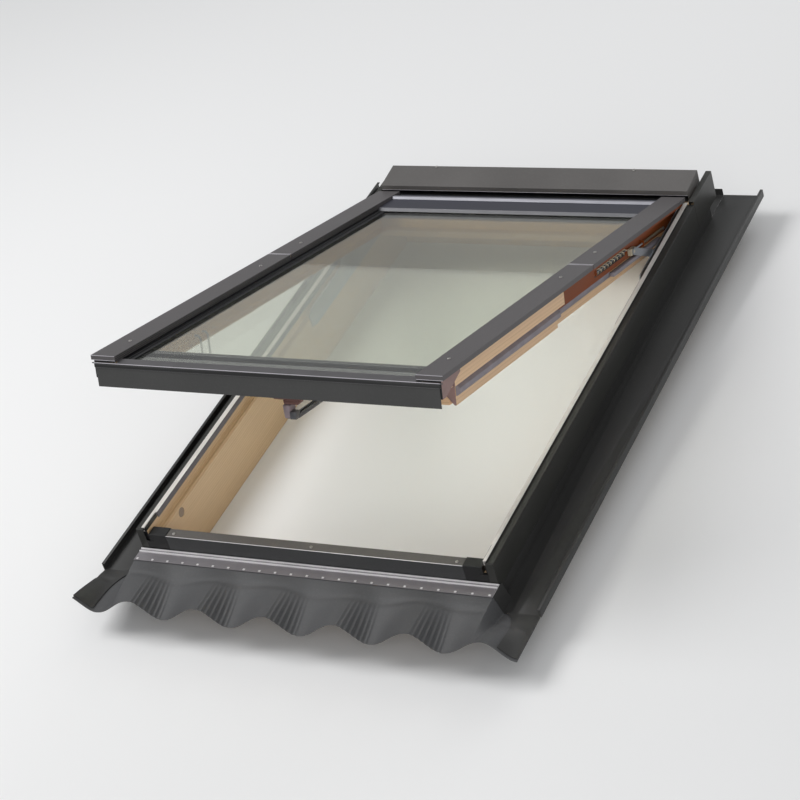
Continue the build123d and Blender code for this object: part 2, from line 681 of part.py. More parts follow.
def make_coil(start, end):
    """A pressure spring of round wire about its rod, as a helix in plane facets."""
    rise = (end - start - 2 * WIRE_R) / (COILS * COIL_SIDES)
    rings = []
    for step in range(COILS * COIL_SIDES + 1):
        turn = 2 * math.pi * step / COIL_SIDES
        ring = []
        for corner in range(WIRE_SIDES):
            angle = 2 * math.pi * corner / WIRE_SIDES
            radius = COIL_R + WIRE_R * math.cos(angle)
            ring.append(Vector(ROD_X + radius * math.cos(turn),
                               start + WIRE_R + rise * step + WIRE_R * math.sin(angle),
                               HINGE_Z + radius * math.sin(turn)))
        rings.append(ring)
    faces = [Face(Wire.make_polygon(rings[0])), Face(Wire.make_polygon(rings[-1][::-1]))]
    for first, second in zip(rings, rings[1:]):
        for corner in range(WIRE_SIDES):
            after = (corner + 1) % WIRE_SIDES
            faces.append(Face(Wire.make_polygon([first[corner], first[after], second[after]])))
            faces.append(Face(Wire.make_polygon([first[corner], second[after], second[corner]])))
    return closed(faces)


def make_plate():
    """Hinge plate on the right jamb, with its hinge pin, headed, and its link pin."""
    start = HINGE_Y - PLATE_LENGTH
    nose = start + PLATE_NOSE
    step = start + PLATE_STEP
    end = HEAD_START - 3
    plate = bar([
        (start, PLATE_BOTTOM_Z + 6), (start, PLATE_NOSE_Z), (nose, PLATE_LOW_Z), (step, PLATE_LOW_Z),
        (step + 4, PLATE_TOP_Z), (end, PLATE_TOP_Z), (end, PLATE_BOTTOM_Z), (nose, PLATE_BOTTOM_Z),
    ], "x", PLATE_IN_X, FACE_X)
    head_x = WEB_X - 0.6
    plate += pin(head_x, PLATE_IN_X, HINGE_Y, HINGE_Z, HINGE_PIN_R)
    plate += pin(head_x - 2, head_x, HINGE_Y, HINGE_Z, HINGE_PIN_R + HINGE_HEAD)
    plate += pin(LINK_IN_X, PLATE_IN_X, LINK_PIN_Y, HINGE_Z, LINK_PIN_R)
    return plate


def make_arm():
    """Right arm: a channel under the cover, with the hinge eye and the rod's guide."""
    web_end = HINGE_Y - WEB_NECK
    arm = block(WEB_X, WEB_OUT_X, ARM_START_Y, web_end, ARM_BOTTOM_Z, ARM_TOP_Z)
    arm += block(WEB_X, WEB_OUT_X, web_end, HINGE_Y, HINGE_Z - 11, HINGE_Z + 16)
    arm += pin(WEB_X, WEB_OUT_X, HINGE_Y, HINGE_Z, WEB_EYE_R)
    arm += block(WEB_X, ARM_OUT_X, ARM_START_Y, COVER_END, ARM_TOP_Z - WEB_THICKNESS, ARM_TOP_Z)
    arm += block(ARM_OUT_X - WEB_THICKNESS, ARM_OUT_X, ARM_START_Y, COVER_END, ARM_LIP_Z, ARM_TOP_Z)
    guide_y = HINGE_Y - GUIDE_FROM_HINGE
    arm += block(WEB_X, ROD_X + 4, guide_y - GUIDE_THICKNESS, guide_y, HINGE_Z - GUIDE_HALF,
                 HINGE_Z + GUIDE_HALF)
    arm -= Solid.make_cylinder(ROD_R + SLIDE_CLEARANCE, 3 * GUIDE_THICKNESS,
                               Plane(origin=(ROD_X, guide_y - 2 * GUIDE_THICKNESS, HINGE_Z),
                                     z_dir=(0, 1, 0)))
    arm -= pin(WEB_X - 1, WEB_OUT_X + 1, HINGE_Y, HINGE_Z, HINGE_PIN_R + PIN_CLEARANCE)
    arm -= pin(WEB_X - 1, GROOVE_FLOOR_X + 1, PIVOT_Y, PIVOT_Z, GROOVE_R + 4)
    arm -= pin(WEB_X - 1, ARM_OUT_X + 1, PIVOT_Y, PIVOT_Z, COVER_SPLIT_GAP + 1.5)
    return arm


def make_hinges():
    """Hinge plates, arms, links, shoes, rods and springs of both sides."""
    write_pair("hinge_plate", make_plate())
    write_pair("arm", make_arm(), turned=True)

    link = block(LINK_IN_X, LINK_OUT_X, SHUT_SHOE_Y, LINK_PIN_Y, HINGE_Z - LINK_WIDTH / 2,
                 HINGE_Z + LINK_WIDTH / 2)
    for y in (SHUT_SHOE_Y, LINK_PIN_Y):
        link += pin(LINK_IN_X, LINK_OUT_X, y, HINGE_Z, LINK_WIDTH / 2)
    for y, radius in ((SHUT_SHOE_Y, SHOE_PIN_R), (LINK_PIN_Y, LINK_PIN_R)):
        link -= pin(LINK_IN_X - 1, LINK_OUT_X + 1, y, HINGE_Z, radius + PIN_CLEARANCE)
    write_pair("link", link.rotate(LINK_PIN, -2 * OPEN_ANGLE))

    shoe_end = REST_SHOE_Y + SHOE_LENGTH / 2
    shoe = block(WEB_OUT_X + SHOE_GAP, LINK_IN_X - SHOE_GAP / 2, REST_SHOE_Y - SHOE_LENGTH / 2,
                 shoe_end, HINGE_Z - SHOE_HEIGHT / 2, HINGE_Z + SHOE_HEIGHT / 2)
    shoe += pin(LINK_IN_X - SHOE_GAP / 2, LINK_OUT_X, REST_SHOE_Y, HINGE_Z, SHOE_PIN_R)
    write_pair("shoe", shoe, turned=True)
    nut_y = HINGE_Y - NUT_FROM_HINGE
    along = Plane(origin=(ROD_X, shoe_end, HINGE_Z), z_dir=(0, 1, 0))
    rod = Solid.make_cylinder(ROD_R, nut_y + ROD_TAIL - shoe_end, along)
    nut = Plane(origin=(ROD_X, nut_y, HINGE_Z), z_dir=(0, 1, 0)) * RegularPolygon(NUT_R, 6)
    rod += extrude(nut, NUT_LENGTH)
    write("pull_rods", rod, mirrored(rod), turned=True)

    spring = make_coil(HINGE_Y - GUIDE_FROM_HINGE, nut_y - 0.3)
    write_pair("spring", spring, turned=True)


def arc_tongue(x0, x1, width, span):
    """A piece of the ring about the centre pivot, between two angles seen from the right."""
    steps = 12
    start, end = span
    angles = [math.radians(start + (end - start) * step / steps) for step in range(steps + 1)]
    outline = [(PIVOT_Y + (GROOVE_R + width / 2) * math.cos(a),
                PIVOT_Z + (GROOVE_R + width / 2) * math.sin(a)) for a in angles]
    outline += [(PIVOT_Y + (GROOVE_R - width / 2) * math.cos(a),
                 PIVOT_Z + (GROOVE_R - width / 2) * math.sin(a)) for a in angles[::-1]]
    return bar(outline, "x", x0, x1)


def slider_plate():
    """The plate that carries the pivot's tongue, let into the right stile."""
    return block(STILE_SIDE_X - SLIDER_THICKNESS, STILE_SIDE_X, PIVOT_Y - SLIDER_TAIL,
                 PIVOT_Y + SLIDER_NOSE, *SLIDER_Z)


def make_pivots():
    """Curved pivots: a groove in the arm's plate and a tongue on the sash that turns in it."""
    plate = bar(cut_corners(PIVOT_Y - PIVOT_PLATE_TAIL, PIVOT_Y + PIVOT_PLATE_NOSE,
                            *PIVOT_PLATE_Z, PIVOT_PLATE_CUT), "x", WEB_OUT_X, PIVOT_PLATE_X)
    groove_width = TONGUE_WIDTH + 2 * SLIDE_CLEARANCE
    plate -= arc_tongue(WEB_OUT_X - 1, GROOVE_FLOOR_X, groove_width, GROOVE_SPAN)
    write_pair("pivot_plate", plate, turned=True)
    slider = slider_plate() + arc_tongue(STILE_SIDE_X, GROOVE_FLOOR_X - 0.3, TONGUE_WIDTH, TONGUE_SPAN)
    write("pivot_sliders", slider, mirrored(slider), turned=True)


def cover_section(start, end):
    """A length of the sash's side cover."""
    return bar(folded([
        (COVER_IN_X, SASH_TOP_Z - COVER_INNER_SKIRT), (COVER_IN_X, SASH_TOP_Z),
        (COVER_OUT_X, SASH_TOP_Z), (COVER_OUT_X, SASH_TOP_Z - COVER_SKIRT),
    ], SHEET), "y", start, end)


def make_stile():
    """Right stile: winged below the pivot, cut back beside the arm above it."""
    stile = bar([
        (STILE_IN_X, BED_Z), (STILE_IN_X, CHAMFER_Z), (STILE_OUT_X - 4, SASH_BOTTOM_Z),
        (STILE_OUT_X, SASH_BOTTOM_Z), (STILE_OUT_X, WING_BOTTOM_Z), (STILE_WING_X, WING_BOTTOM_Z),
        (STILE_WING_X, ARM_TOP_Z), (REBATE_X, ARM_TOP_Z), (REBATE_X, BED_Z),
    ], "y", SASH_START + 3, SASH_END)
    cut_y = ARM_START_Y - 2
    below = SASH_BOTTOM_Z - 1
    stile -= block(STILE_SIDE_X, STILE_WING_X + 1, cut_y, SASH_END + 1, below, SASH_TOP_Z)
    stile -= block(STILE_IN_X, STILE_WING_X, cut_y, SASH_END + 1, CAP_TOP_Z - 0.2, SASH_TOP_Z)
    stile -= block(0, STILE_WING_X + 1, SASH_START, FOOT_FRONT_Y, below, WING_ROOT_Z)
    stile -= block(0, STILE_WING_X + 1, SASH_START, FOOT_DEEP_Y, below, FOOT_ROOT_Z)
    return stile - slider_plate()


def make_sash_timber():
    """Stiles, head and foot of the sash."""
    stile = make_stile()
    write_pair("stile", stile, turned=True)
    both = stile + mirrored(stile)
    rail_y = GLASS_END - 16
    head_z = CAP_TOP_Z - 0.2
    head = bar([
        (rail_y, BED_Z), (GLASS_END + EDGE_CLEARANCE, BED_Z), (GLASS_END + EDGE_CLEARANCE, head_z),
        (SASH_END, head_z), (SASH_END, SASH_BOTTOM_Z), (GLASS_END + 8, SASH_BOTTOM_Z),
        (rail_y, CHAMFER_Z),
    ], "x", -REBATE_X, REBATE_X) - both
    skirt_z = SASH_TOP_Z - COVER_INNER_SKIRT - 0.6
    for low in (-REBATE_X, COVER_IN_X - COVER_INSET):
        head -= block(low, low + REBATE_X - COVER_IN_X + COVER_INSET, GLASS_END, SASH_END, skirt_z, 6)
    write("sash_head", head, turned=True)
    step_y = FOOT_FRONT_Y + FOOT_STEP
    foot = bar([
        (FOOT_FRONT_Y, BED_TOP_Z), (step_y, BED_TOP_Z), (step_y, BED_Z), (FOOT_BACK_Y, BED_Z),
        (FOOT_BACK_Y, CHAMFER_Z), (FOOT_BACK_Y - FOOT_SLOPE, SASH_BOTTOM_Z),
        (FOOT_DEEP_Y, SASH_BOTTOM_Z), (FOOT_DEEP_Y, FOOT_ROOT_Z), (FOOT_FRONT_Y, FOOT_ROOT_Z),
    ], "x", -REBATE_X, REBATE_X) - both
    write("sash_foot", foot - lock_case(), turned=True)


def make_glazing():
    """Stepped double glazing: panes, spacer, bead and the bedding tape on the foot."""
    glass_start = SASH_START + 6
    inner_start = FOOT_FRONT_Y + PANE_STEP
    write("outer_pane", block(-GLASS_EDGE_X, GLASS_EDGE_X, glass_start, GLASS_END,
                              PANE_UNDER_Z, GLASS_TOP_Z), turned=True)
    write("inner_pane", block(-GLASS_EDGE_X, GLASS_EDGE_X, inner_start, GLASS_END,
                              GLASS_BOTTOM_Z, GLASS_BOTTOM_Z + PANE), turned=True)
    edge = 2.0
    face = edge + SPACER_WIDTH
    spacer = block(-GLASS_EDGE_X + edge, GLASS_EDGE_X - edge, inner_start + edge, GLASS_END - edge,
                   GLASS_BOTTOM_Z + PANE, PANE_UNDER_Z)
    spacer -= block(-GLASS_EDGE_X + face, GLASS_EDGE_X - face, inner_start + face, GLASS_END - face,
                    GLASS_BOTTOM_Z, GLASS_TOP_Z)
    write("pane_spacer", spacer, turned=True)
    bead_top = SASH_TOP_Z - COVER_INNER_SKIRT - 0.6
    bead = block(-GLASS_EDGE_X, GLASS_EDGE_X, SASH_START + 22, GLASS_END, GLASS_TOP_Z, bead_top)
    bead -= block(-GLASS_EDGE_X + BEAD_FACE, GLASS_EDGE_X - BEAD_FACE, SASH_START,
                  GLASS_END - BEAD_FACE, GLASS_TOP_Z - 1, bead_top + 1)
    tape = block(-STILE_IN_X, STILE_IN_X, FOOT_FRONT_Y, FOOT_FRONT_Y + FOOT_STEP, BED_TOP_Z,
                 PANE_UNDER_Z)
    write("glazing_bead", bead, tape, turned=True)


def make_sash_covers():
    """Side covers with their split at the pivot, the front cover, the clamp and the head profile."""
    split_low = PIVOT_Y + 0.9 * COVER_SPLIT_GAP
    sash_cover = cover_section(SASH_START, split_low)
    sash_cover += block(COVER_IN_X, COVER_OUT_X, SASH_START, SASH_START + SHEET,
                        SASH_TOP_Z - COVER_SKIRT, SASH_TOP_Z)
    write_pair("sash_cover", sash_cover, turned=True)
    write_pair("arm_cover", cover_section(split_low + COVER_SPLIT_GAP, COVER_END), turned=True)

    fascia = bar(folded([
        (SASH_START, FASCIA_BOTTOM_Z), (SASH_START, FASCIA_TOP_Z),
        (SASH_START + FASCIA_RETURN, FASCIA_TOP_Z),
    ], SHEET), "x", -STILE_IN_X, STILE_IN_X)
    fascia += block(-FASCIA_HALF, FASCIA_HALF, SASH_START, SASH_START + SHEET, FASCIA_BOTTOM_Z,
                    FASCIA_TOP_Z)
    write("front_cover", fascia, turned=True)

    clamp_y = SASH_START - CLAMP_PROUD
    clamp = bar(folded([
        (SASH_START + CLAMP_REACH, GLASS_TOP_Z + 0.3), (SASH_START + CLAMP_REACH, CLAMP_TOP_Z),
        (clamp_y, CLAMP_EDGE_Z),
    ], -SHEET), "x", -STILE_IN_X, STILE_IN_X)
    clamp += block(-STILE_IN_X, STILE_IN_X, clamp_y, clamp_y + SHEET, BED_TOP_Z - SHEET, CLAMP_EDGE_Z)
    clamp += block(-STILE_IN_X, STILE_IN_X, clamp_y, FOOT_FRONT_Y - 0.2, BED_TOP_Z - SHEET, BED_TOP_Z)
    clamp += block(-COVER_OUT_X + 2, COVER_OUT_X - 2, clamp_y, SASH_START + SHEET,
                   CLAMP_EDGE_Z - 1.8, CLAMP_EDGE_Z)
    write("glazing_clamp", clamp, turned=True)

    ridge = GLASS_END + RIDGE_START
    profile = bar(folded([
        (GLASS_END - PROFILE_LIP, GLASS_TOP_Z + 1.8), (GLASS_END - PROFILE_LIP + 6, PROFILE_Z),
        (ridge - 4, PROFILE_Z + 1.4), (ridge, RIDGE_Z), (ridge + RIDGE_WIDTH, RIDGE_Z),
        (ridge + RIDGE_WIDTH + 4, PROFILE_Z + 0.4), (SASH_END + 8, PROFILE_Z + 0.4), (SASH_END + 8, -6),
    ], SHEET), "x", -STILE_IN_X, STILE_IN_X)
    write("top_profile", profile, turned=True)


def make_sash_fittings():
    """Corner caps, side gaskets and the wire bail."""
    front = SASH_START + SHEET + 0.2
    cap_out = STILE_WING_X + CAP_THICKNESS
    cap = bar([
        (front, CAP_TOP_Z), (front, CAP_FOOT_Z), (front + CAP_NOSE, CAP_FOOT_Z),
        (CAP_END, -CAP_THICKNESS), (CAP_END, CAP_TOP_Z),
    ], "x", STILE_WING_X, cap_out)
    cap += block(STILE_IN_X + 1, cap_out, front, front + 1.5, CAP_FOOT_Z, FASCIA_TOP_Z - SHEET - 0.2)
    cap += block(COVER_IN_X + 1.5, cap_out, front, front + 1.5, CLAMP_EDGE_Z + 0.2, CAP_TOP_Z)
    write("corner_caps", cap, mirrored(cap), turned=True)

    low, high = GASKET_Z
    reach = FACE_X - GASKET_CLEARANCE
    root = STILE_OUT_X + 4
    gasket = bar([
        (STILE_OUT_X, high), (STILE_OUT_X, low), (root, low + 1), (reach, low + 6),
        (reach, high - 7), (root, high - 1),
    ], "y", FOOT_DEEP_Y + 2, ARM_START_Y - 4)
    write("side_gaskets", gasket, mirrored(gasket), turned=True)

    wall = -STILE_IN_X
    out = wall + BAIL_REACH
    far = BAIL_Y + BAIL_SPREAD
    low, high = BAIL_Z
    path = Polyline(
        (wall, BAIL_Y, high), (out - BAIL_BEND, BAIL_Y, high), (out, BAIL_Y, high - BAIL_BEND),
        (out, BAIL_Y, low + BAIL_BEND), (out, BAIL_Y + BAIL_BEND, low),
        (out, far - BAIL_BEND, low), (out, far, low + BAIL_BEND),
        (out, far, high - BAIL_BEND), (out - BAIL_BEND, far, high), (wall, far, high))
    wire = sweep(Plane(path @ 0, z_dir=path % 0) * Circle(BAIL_R), path=path,
                 transition=Transition.RIGHT)
    write("wire_bail", wire, turned=True)


def lock_case():
    """The block that the lock case fills in the sash foot."""
    return block(-CASE_HALF, CASE_HALF, FOOT_DEEP_Y, FOOT_DEEP_Y + CASE_DEPTH, SASH_BOTTOM_Z,
                 BOLT_Z[1] + CASE_TOP)


def make_lock():
    """Lock case and bolt in the sash foot, and the lever handle below it."""
    case = lock_case()
    case -= block(-BOLT_HALF - BOLT_PLAY, BOLT_HALF + BOLT_PLAY, FOOT_DEEP_Y - 1,
                  FOOT_DEEP_Y + CASE_DEPTH - 2, BOLT_Z[0] - BOLT_PLAY, BOLT_Z[1] + BOLT_PLAY)
    case -= post(0, HANDLE_Y, SASH_BOTTOM_Z - 1, BOLT_Z[0], SPINDLE_R + PIN_CLEARANCE)
    write("lock_case", case, turned=True)
    bolt_start = FOOT_DEEP_Y - BOLT_SETBACK
    bolt = block(-BOLT_HALF, BOLT_HALF, bolt_start, bolt_start + BOLT_LENGTH, *BOLT_Z)
    bolt = chamfer(bolt.edges().filter_by(Axis.X).group_by(Axis.Y)[0], EDGE_CHAMFER)
    write("lock_bolt", bolt, turned=True)

    base_z = SASH_BOTTOM_Z - BASE_THICKNESS
    collar_z = base_z - COLLAR_THICKNESS
    base = extrude(Plane((0, HANDLE_Y, base_z)) * SlotOverall(BASE_LENGTH, BASE_WIDTH), BASE_THICKNESS)
    base = chamfer(base.faces().sort_by(Axis.Z)[0].edges(), EDGE_CHAMFER)
    collar = extrude(Plane((0, HANDLE_Y, collar_z)) * Rectangle(COLLAR_LENGTH, COLLAR_WIDTH),
                     COLLAR_THICKNESS + 1)
    base += chamfer(collar.edges().filter_by(Axis.Z), 2 * EDGE_CHAMFER)
    base -= post(0, HANDLE_Y, collar_z - 1, SASH_BOTTOM_Z + 1, SPINDLE_R + PIN_CLEARANCE)
    write("handle_base", base, turned=True)

    neck_end = collar_z - 0.2 - NECK_LENGTH
    lever = post(0, HANDLE_Y, collar_z - 1, BOLT_Z[0] - 1, SPINDLE_R)
    lever += Solid.make_cone(NECK_END_R, NECK_TOP_R, NECK_LENGTH, Plane((0, HANDLE_Y, neck_end)))
    grip = Plane((0, HANDLE_Y - LEVER_HEEL + LEVER_LENGTH / 2, neck_end + LEVER_BITE - LEVER_THICKNESS))
    blade = extrude(grip * SlotOverall(LEVER_LENGTH, LEVER_WIDTH, rotation=90), LEVER_THICKNESS)
    blade = chamfer(blade.edges().group_by(Axis.Z)[0], 2 * EDGE_CHAMFER)
    write("handle_lever", lever + blade, turned=True)


make_frame()
make_side_covers()
make_foot_covers()
make_apron()
make_flashings()
make_screws()
make_hinges()
make_pivots()
make_sash_timber()
make_glazing()
make_sash_covers()
make_sash_fittings()
make_lock()
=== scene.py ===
"""Studio scene of a pine roof window with dark metal covers, held open on its side arms."""

import json
import logging
import math
from dataclasses import dataclass, field
from enum import Enum
from typing import Callable, Iterable, Optional

import bmesh
import bpy
from mathutils import Matrix, Quaternion, Vector

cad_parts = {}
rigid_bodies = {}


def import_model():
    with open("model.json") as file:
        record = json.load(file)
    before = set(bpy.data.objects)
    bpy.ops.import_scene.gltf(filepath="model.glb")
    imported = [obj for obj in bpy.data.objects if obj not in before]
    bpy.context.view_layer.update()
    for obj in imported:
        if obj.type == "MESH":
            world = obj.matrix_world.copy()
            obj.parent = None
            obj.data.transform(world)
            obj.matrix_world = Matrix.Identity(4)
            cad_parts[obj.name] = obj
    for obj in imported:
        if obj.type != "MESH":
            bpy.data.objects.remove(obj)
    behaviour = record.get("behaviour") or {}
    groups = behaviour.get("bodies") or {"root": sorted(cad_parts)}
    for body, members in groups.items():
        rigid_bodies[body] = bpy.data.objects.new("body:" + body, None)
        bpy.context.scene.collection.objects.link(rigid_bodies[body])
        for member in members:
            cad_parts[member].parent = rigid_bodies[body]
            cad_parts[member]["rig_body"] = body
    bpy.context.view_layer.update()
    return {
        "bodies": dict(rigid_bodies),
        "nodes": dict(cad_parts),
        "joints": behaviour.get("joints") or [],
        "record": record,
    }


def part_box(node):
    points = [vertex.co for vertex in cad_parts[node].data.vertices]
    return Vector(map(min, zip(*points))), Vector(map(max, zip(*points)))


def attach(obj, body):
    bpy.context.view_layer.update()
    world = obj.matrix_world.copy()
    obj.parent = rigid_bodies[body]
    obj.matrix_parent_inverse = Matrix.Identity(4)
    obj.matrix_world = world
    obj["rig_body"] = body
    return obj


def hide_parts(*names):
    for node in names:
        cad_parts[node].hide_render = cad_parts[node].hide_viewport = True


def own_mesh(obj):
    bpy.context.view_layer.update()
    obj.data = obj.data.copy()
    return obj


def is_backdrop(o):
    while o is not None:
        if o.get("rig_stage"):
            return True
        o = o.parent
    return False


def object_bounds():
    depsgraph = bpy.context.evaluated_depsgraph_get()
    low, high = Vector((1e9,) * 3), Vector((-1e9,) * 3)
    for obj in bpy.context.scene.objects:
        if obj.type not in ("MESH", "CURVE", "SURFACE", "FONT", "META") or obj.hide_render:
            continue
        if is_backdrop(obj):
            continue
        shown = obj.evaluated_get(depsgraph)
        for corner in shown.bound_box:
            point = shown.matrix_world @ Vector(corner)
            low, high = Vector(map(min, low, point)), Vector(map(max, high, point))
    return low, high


LOG = logging.getLogger("roof_window")

Colour = tuple[float, float, float]
Point = tuple[float, float, float]
Box = tuple[Point, Point]

MM = 0.001
OPEN_ANGLE = math.radians(18.7)
SASH_NORMAL = Vector((0.0, math.sin(OPEN_ANGLE), math.cos(OPEN_ANGLE)))
UP_SLOPE = Vector((0.0, math.cos(OPEN_ANGLE), -math.sin(OPEN_ANGLE)))
SIDES = {"left": -1, "right": 1}

# Faces across a ground edge, a plain rounded edge and one that is seen near by.
GROUND, ROUNDED, FULL_ROUND = 1, 2, 3

# Degrees between faces. Past the first two the edges of solids and blocks are rounded, and under the
# last three blocks, other pieces and sheets are shaded smooth.
SOLID_SHARP, BLOCK_SHARP, PIECE_SMOOTH, SHEET_SMOOTH = 28.0, 40.0, 35.0, 50.0


class Lie(Enum):
    """How a length of timber or brushed metal lies, as the turn that brings its run onto Y."""

    ALONG_FRAME = (0.0, 0.0, 0.0)
    ACROSS_FRAME = (0.0, 0.0, math.pi / 2)
    ALONG_SASH = (OPEN_ANGLE, 0.0, 0.0)
    ACROSS_SASH = (OPEN_ANGLE, 0.0, math.pi / 2)


def shaded(colour: Colour, factor: float) -> Colour:
    """A colour made lighter or darker by a factor."""
    return (min(colour[0] * factor, 1.0), min(colour[1] * factor, 1.0), min(colour[2] * factor, 1.0))


class Shader:
    """The node tree of one material, with short calls to add and join nodes."""

    def __init__(self, name: str) -> None:
        """Start a material.

        Args:
            name: the material's name.
        """
        self.material = bpy.data.materials.new(name)
        self.material.use_nodes = True
        self.tree = self.material.node_tree
        self.surface = self.tree.nodes["Principled BSDF"]
        self.output = self.tree.nodes["Material Output"]

    def add(self, kind: str, **inputs: object) -> bpy.types.Node:
        """Add a node.

        Args:
            kind: Blender's name of the node type.
            inputs: input names, with spaces as underscores, and either a value or a socket.

        Returns:
            The new node.
        """
        node = self.tree.nodes.new(kind)
        for key, value in inputs.items():
            self.feed(node.inputs[key.replace("_", " ")], value)
        return node

    def feed(self, socket: bpy.types.NodeSocket, value: object) -> None:
        """Give an input socket a value or a colour, or join it to an output socket.

        Args:
            socket: the input.
            value: a number, a vector, a colour of three numbers or an output socket.
        """
        if isinstance(value, bpy.types.NodeSocket):
            self.tree.links.new(value, socket)
        elif socket.type == "RGBA" and len(value) == 3:
            socket.default_value = (*value, 1.0)
        else:
            socket.default_value = value

    def place(self, lie: Lie = Lie.ALONG_FRAME, stretch: Point = (1.0, 1.0, 1.0),
              shift: Point = (0.0, 0.0, 0.0)) -> bpy.types.NodeSocket:
        """Object coordinates, turned so that the run is along Y, then stretched.

        Args:
            lie: how the piece lies.
            stretch: the scale along each axis.
            shift: the shift of the pattern, before the stretch.

        Returns:
            The vector output.
        """
        coordinates = self.tree.nodes.new("ShaderNodeTexCoord")
        turned = self.add("ShaderNodeMapping", Vector=coordinates.outputs["Object"], Location=shift,
                          Rotation=lie.value)
        scaled = self.add("ShaderNodeMapping", Vector=turned.outputs["Vector"], Scale=stretch)
        return scaled.outputs["Vector"]

    def noise(self, vector: bpy.types.NodeSocket, scale: float, detail: float = 2.0,
              roughness: float = 0.5) -> bpy.types.NodeSocket:
        """A noise value between 0 and 1.

        Args:
            vector: where the noise is read.
            scale: its fineness.
            detail: its number of finer layers.
            roughness: how strong the finer layers are.

        Returns:
            The value output.
        """
        node = self.add("ShaderNodeTexNoise", Vector=vector, Scale=scale, Detail=detail,
                        Roughness=roughness)
        return node.outputs[0]

    def ramp(self, factor: bpy.types.NodeSocket, *stops: tuple[float, Colour]) -> bpy.types.NodeSocket:
        """A colour picked along a ramp.

        Args:
            factor: the value that picks.
            stops: places from 0 to 1, each with its colour.

        Returns:
            The colour output.
        """
        node = self.add("ShaderNodeValToRGB", Fac=factor)
        elements = node.color_ramp.elements
        while len(elements) < len(stops):
            elements.new(0.5)
        for element, (place, colour) in zip(elements, stops):
            element.position = place
            element.color = (*colour, 1.0)
        return node.outputs["Color"]

    def tones(self, factor: bpy.types.NodeSocket, colour: Colour, dark: float,
              light: float) -> bpy.types.NodeSocket:
        """A colour that wanders between a darker and a lighter shade of it, after a noise."""
        return self.ramp(factor, (0.3, shaded(colour, dark)), (0.7, shaded(colour, light)))

    def span(self, value: bpy.types.NodeSocket, low: float, high: float,
             start: float = 0.3, end: float = 0.7) -> bpy.types.NodeSocket:
        """A value mapped from one span to another, held at the ends."""
        node = self.add("ShaderNodeMapRange", Value=value, From_Min=start, From_Max=end, To_Min=low,
                        To_Max=high)
        return node.outputs["Result"]

    def blend(self, factor: object, first: object, second: object,
              how: str = "MIX") -> bpy.types.NodeSocket:
        """Two colours mixed.

        Args:
            factor: the share of the second colour.
            first: a colour or socket.
            second: a colour or socket.
            how: Blender's name of the way of mixing.

        Returns:
            The colour output.
        """
        node = self.tree.nodes.new("ShaderNodeMix")
        node.data_type = "RGBA"
        node.blend_type = how
        for socket, value in zip([s for s in node.inputs if s.enabled], (factor, first, second)):
            self.feed(socket, value)
        return next(s for s in node.outputs if s.enabled)

    def bump(self, height: bpy.types.NodeSocket, distance: float, strength: float) -> bpy.types.NodeSocket:
        """A bumped normal.

        Args:
            height: the height pattern, from 0 to 1.
            distance: the height in metres.
            strength: how strongly it shows.

        Returns:
            The normal output.
        """
        node = self.add("ShaderNodeBump", Height=height, Distance=distance, Strength=strength)
        return node.outputs["Normal"]

    def set(self, **inputs: object) -> None:
        """Set inputs of the surface shader, with spaces in their names as underscores."""
        for key, value in inputs.items():
            self.feed(self.surface.inputs[key.replace("_", " ")], value)


@dataclass(frozen=True)
class Finish:
    """What every finish has: a name, the record's slot, a colour and a roughness."""

    name: str
    slot: str
    colour: Colour
    roughness: float

    def dress(self, shader: Shader) -> None:
        """Set the shader's nodes. Each kind of finish has its own."""
        raise NotImplementedError

    def material(self) -> bpy.types.Material:
        """The finished material, built once.

        Returns:
            The material.
        """
        label = self.name + "_finish"
        found = bpy.data.materials.get(label)
        if found is not None:
            return found
        shader = Shader(label)
        self.dress(shader)
        return shader.material


@dataclass(frozen=True)
class Pine(Finish):
    """Lacquered pine, with growth rings about a heart outside the board and fine fibres."""

    lie: Lie = Lie.ALONG_FRAME
    heart: Point = (0.31, 0.0, 0.17)
    ring_pitch: float = 5.5 * MM
    ring_stretch: Point = (1.0, 0.045, 1.0)
    ring_sway: float = 3.2
    late_wood: Colour = (0.42, 0.24, 0.1)
    drift_stretch: Point = (9.0, 1.1, 9.0)
    fibre_stretch: Point = (900.0, 9.0, 900.0)
    fibre_height: float = 0.05 * MM
    dark_fibre: Colour = (0.86, 0.83, 0.78)
    coat: float = 0.25

    def dress(self, shader: Shader) -> None:
        """Rings, fibres, slow tone changes and a thin clear coat.

        Args:
            shader: the material's nodes.
        """
        drift = shader.noise(shader.place(self.lie, self.drift_stretch, self.heart), 1.0, 3.0)
        rings = shader.add("ShaderNodeTexWave",
                           Vector=shader.place(self.lie, self.ring_stretch, self.heart),
                           Scale=2 * math.pi / (20 * self.ring_pitch), Distortion=self.ring_sway,
                           Detail=2.0, Detail_Scale=0.35)
        rings.wave_type = "RINGS"
        rings.rings_direction = "Y"
        rings.wave_profile = "SAW"
        wood = shader.ramp(rings.outputs["Fac"], (0.0, self.colour), (0.62, shaded(self.colour, 0.97)),
                           (0.9, shaded(self.colour, 0.8)), (1.0, self.late_wood))
        body = shader.blend(0.5, wood, shader.tones(drift, self.colour, 0.86, 1.12))
        fibres = shader.noise(shader.place(self.lie, self.fibre_stretch), 1.0, 3.0, 0.6)
        streaks = shader.ramp(fibres, (0.35, self.dark_fibre), (0.65, (1.0, 1.0, 1.0)))
        shader.set(
            Base_Color=shader.blend(0.8, body, streaks, "MULTIPLY"),
            Roughness=shader.span(fibres, self.roughness - 0.05, self.roughness + 0.09),
            Normal=shader.bump(fibres, self.fibre_height, 0.6),
            Coat_Weight=self.coat,
            Coat_Roughness=0.25,
        )


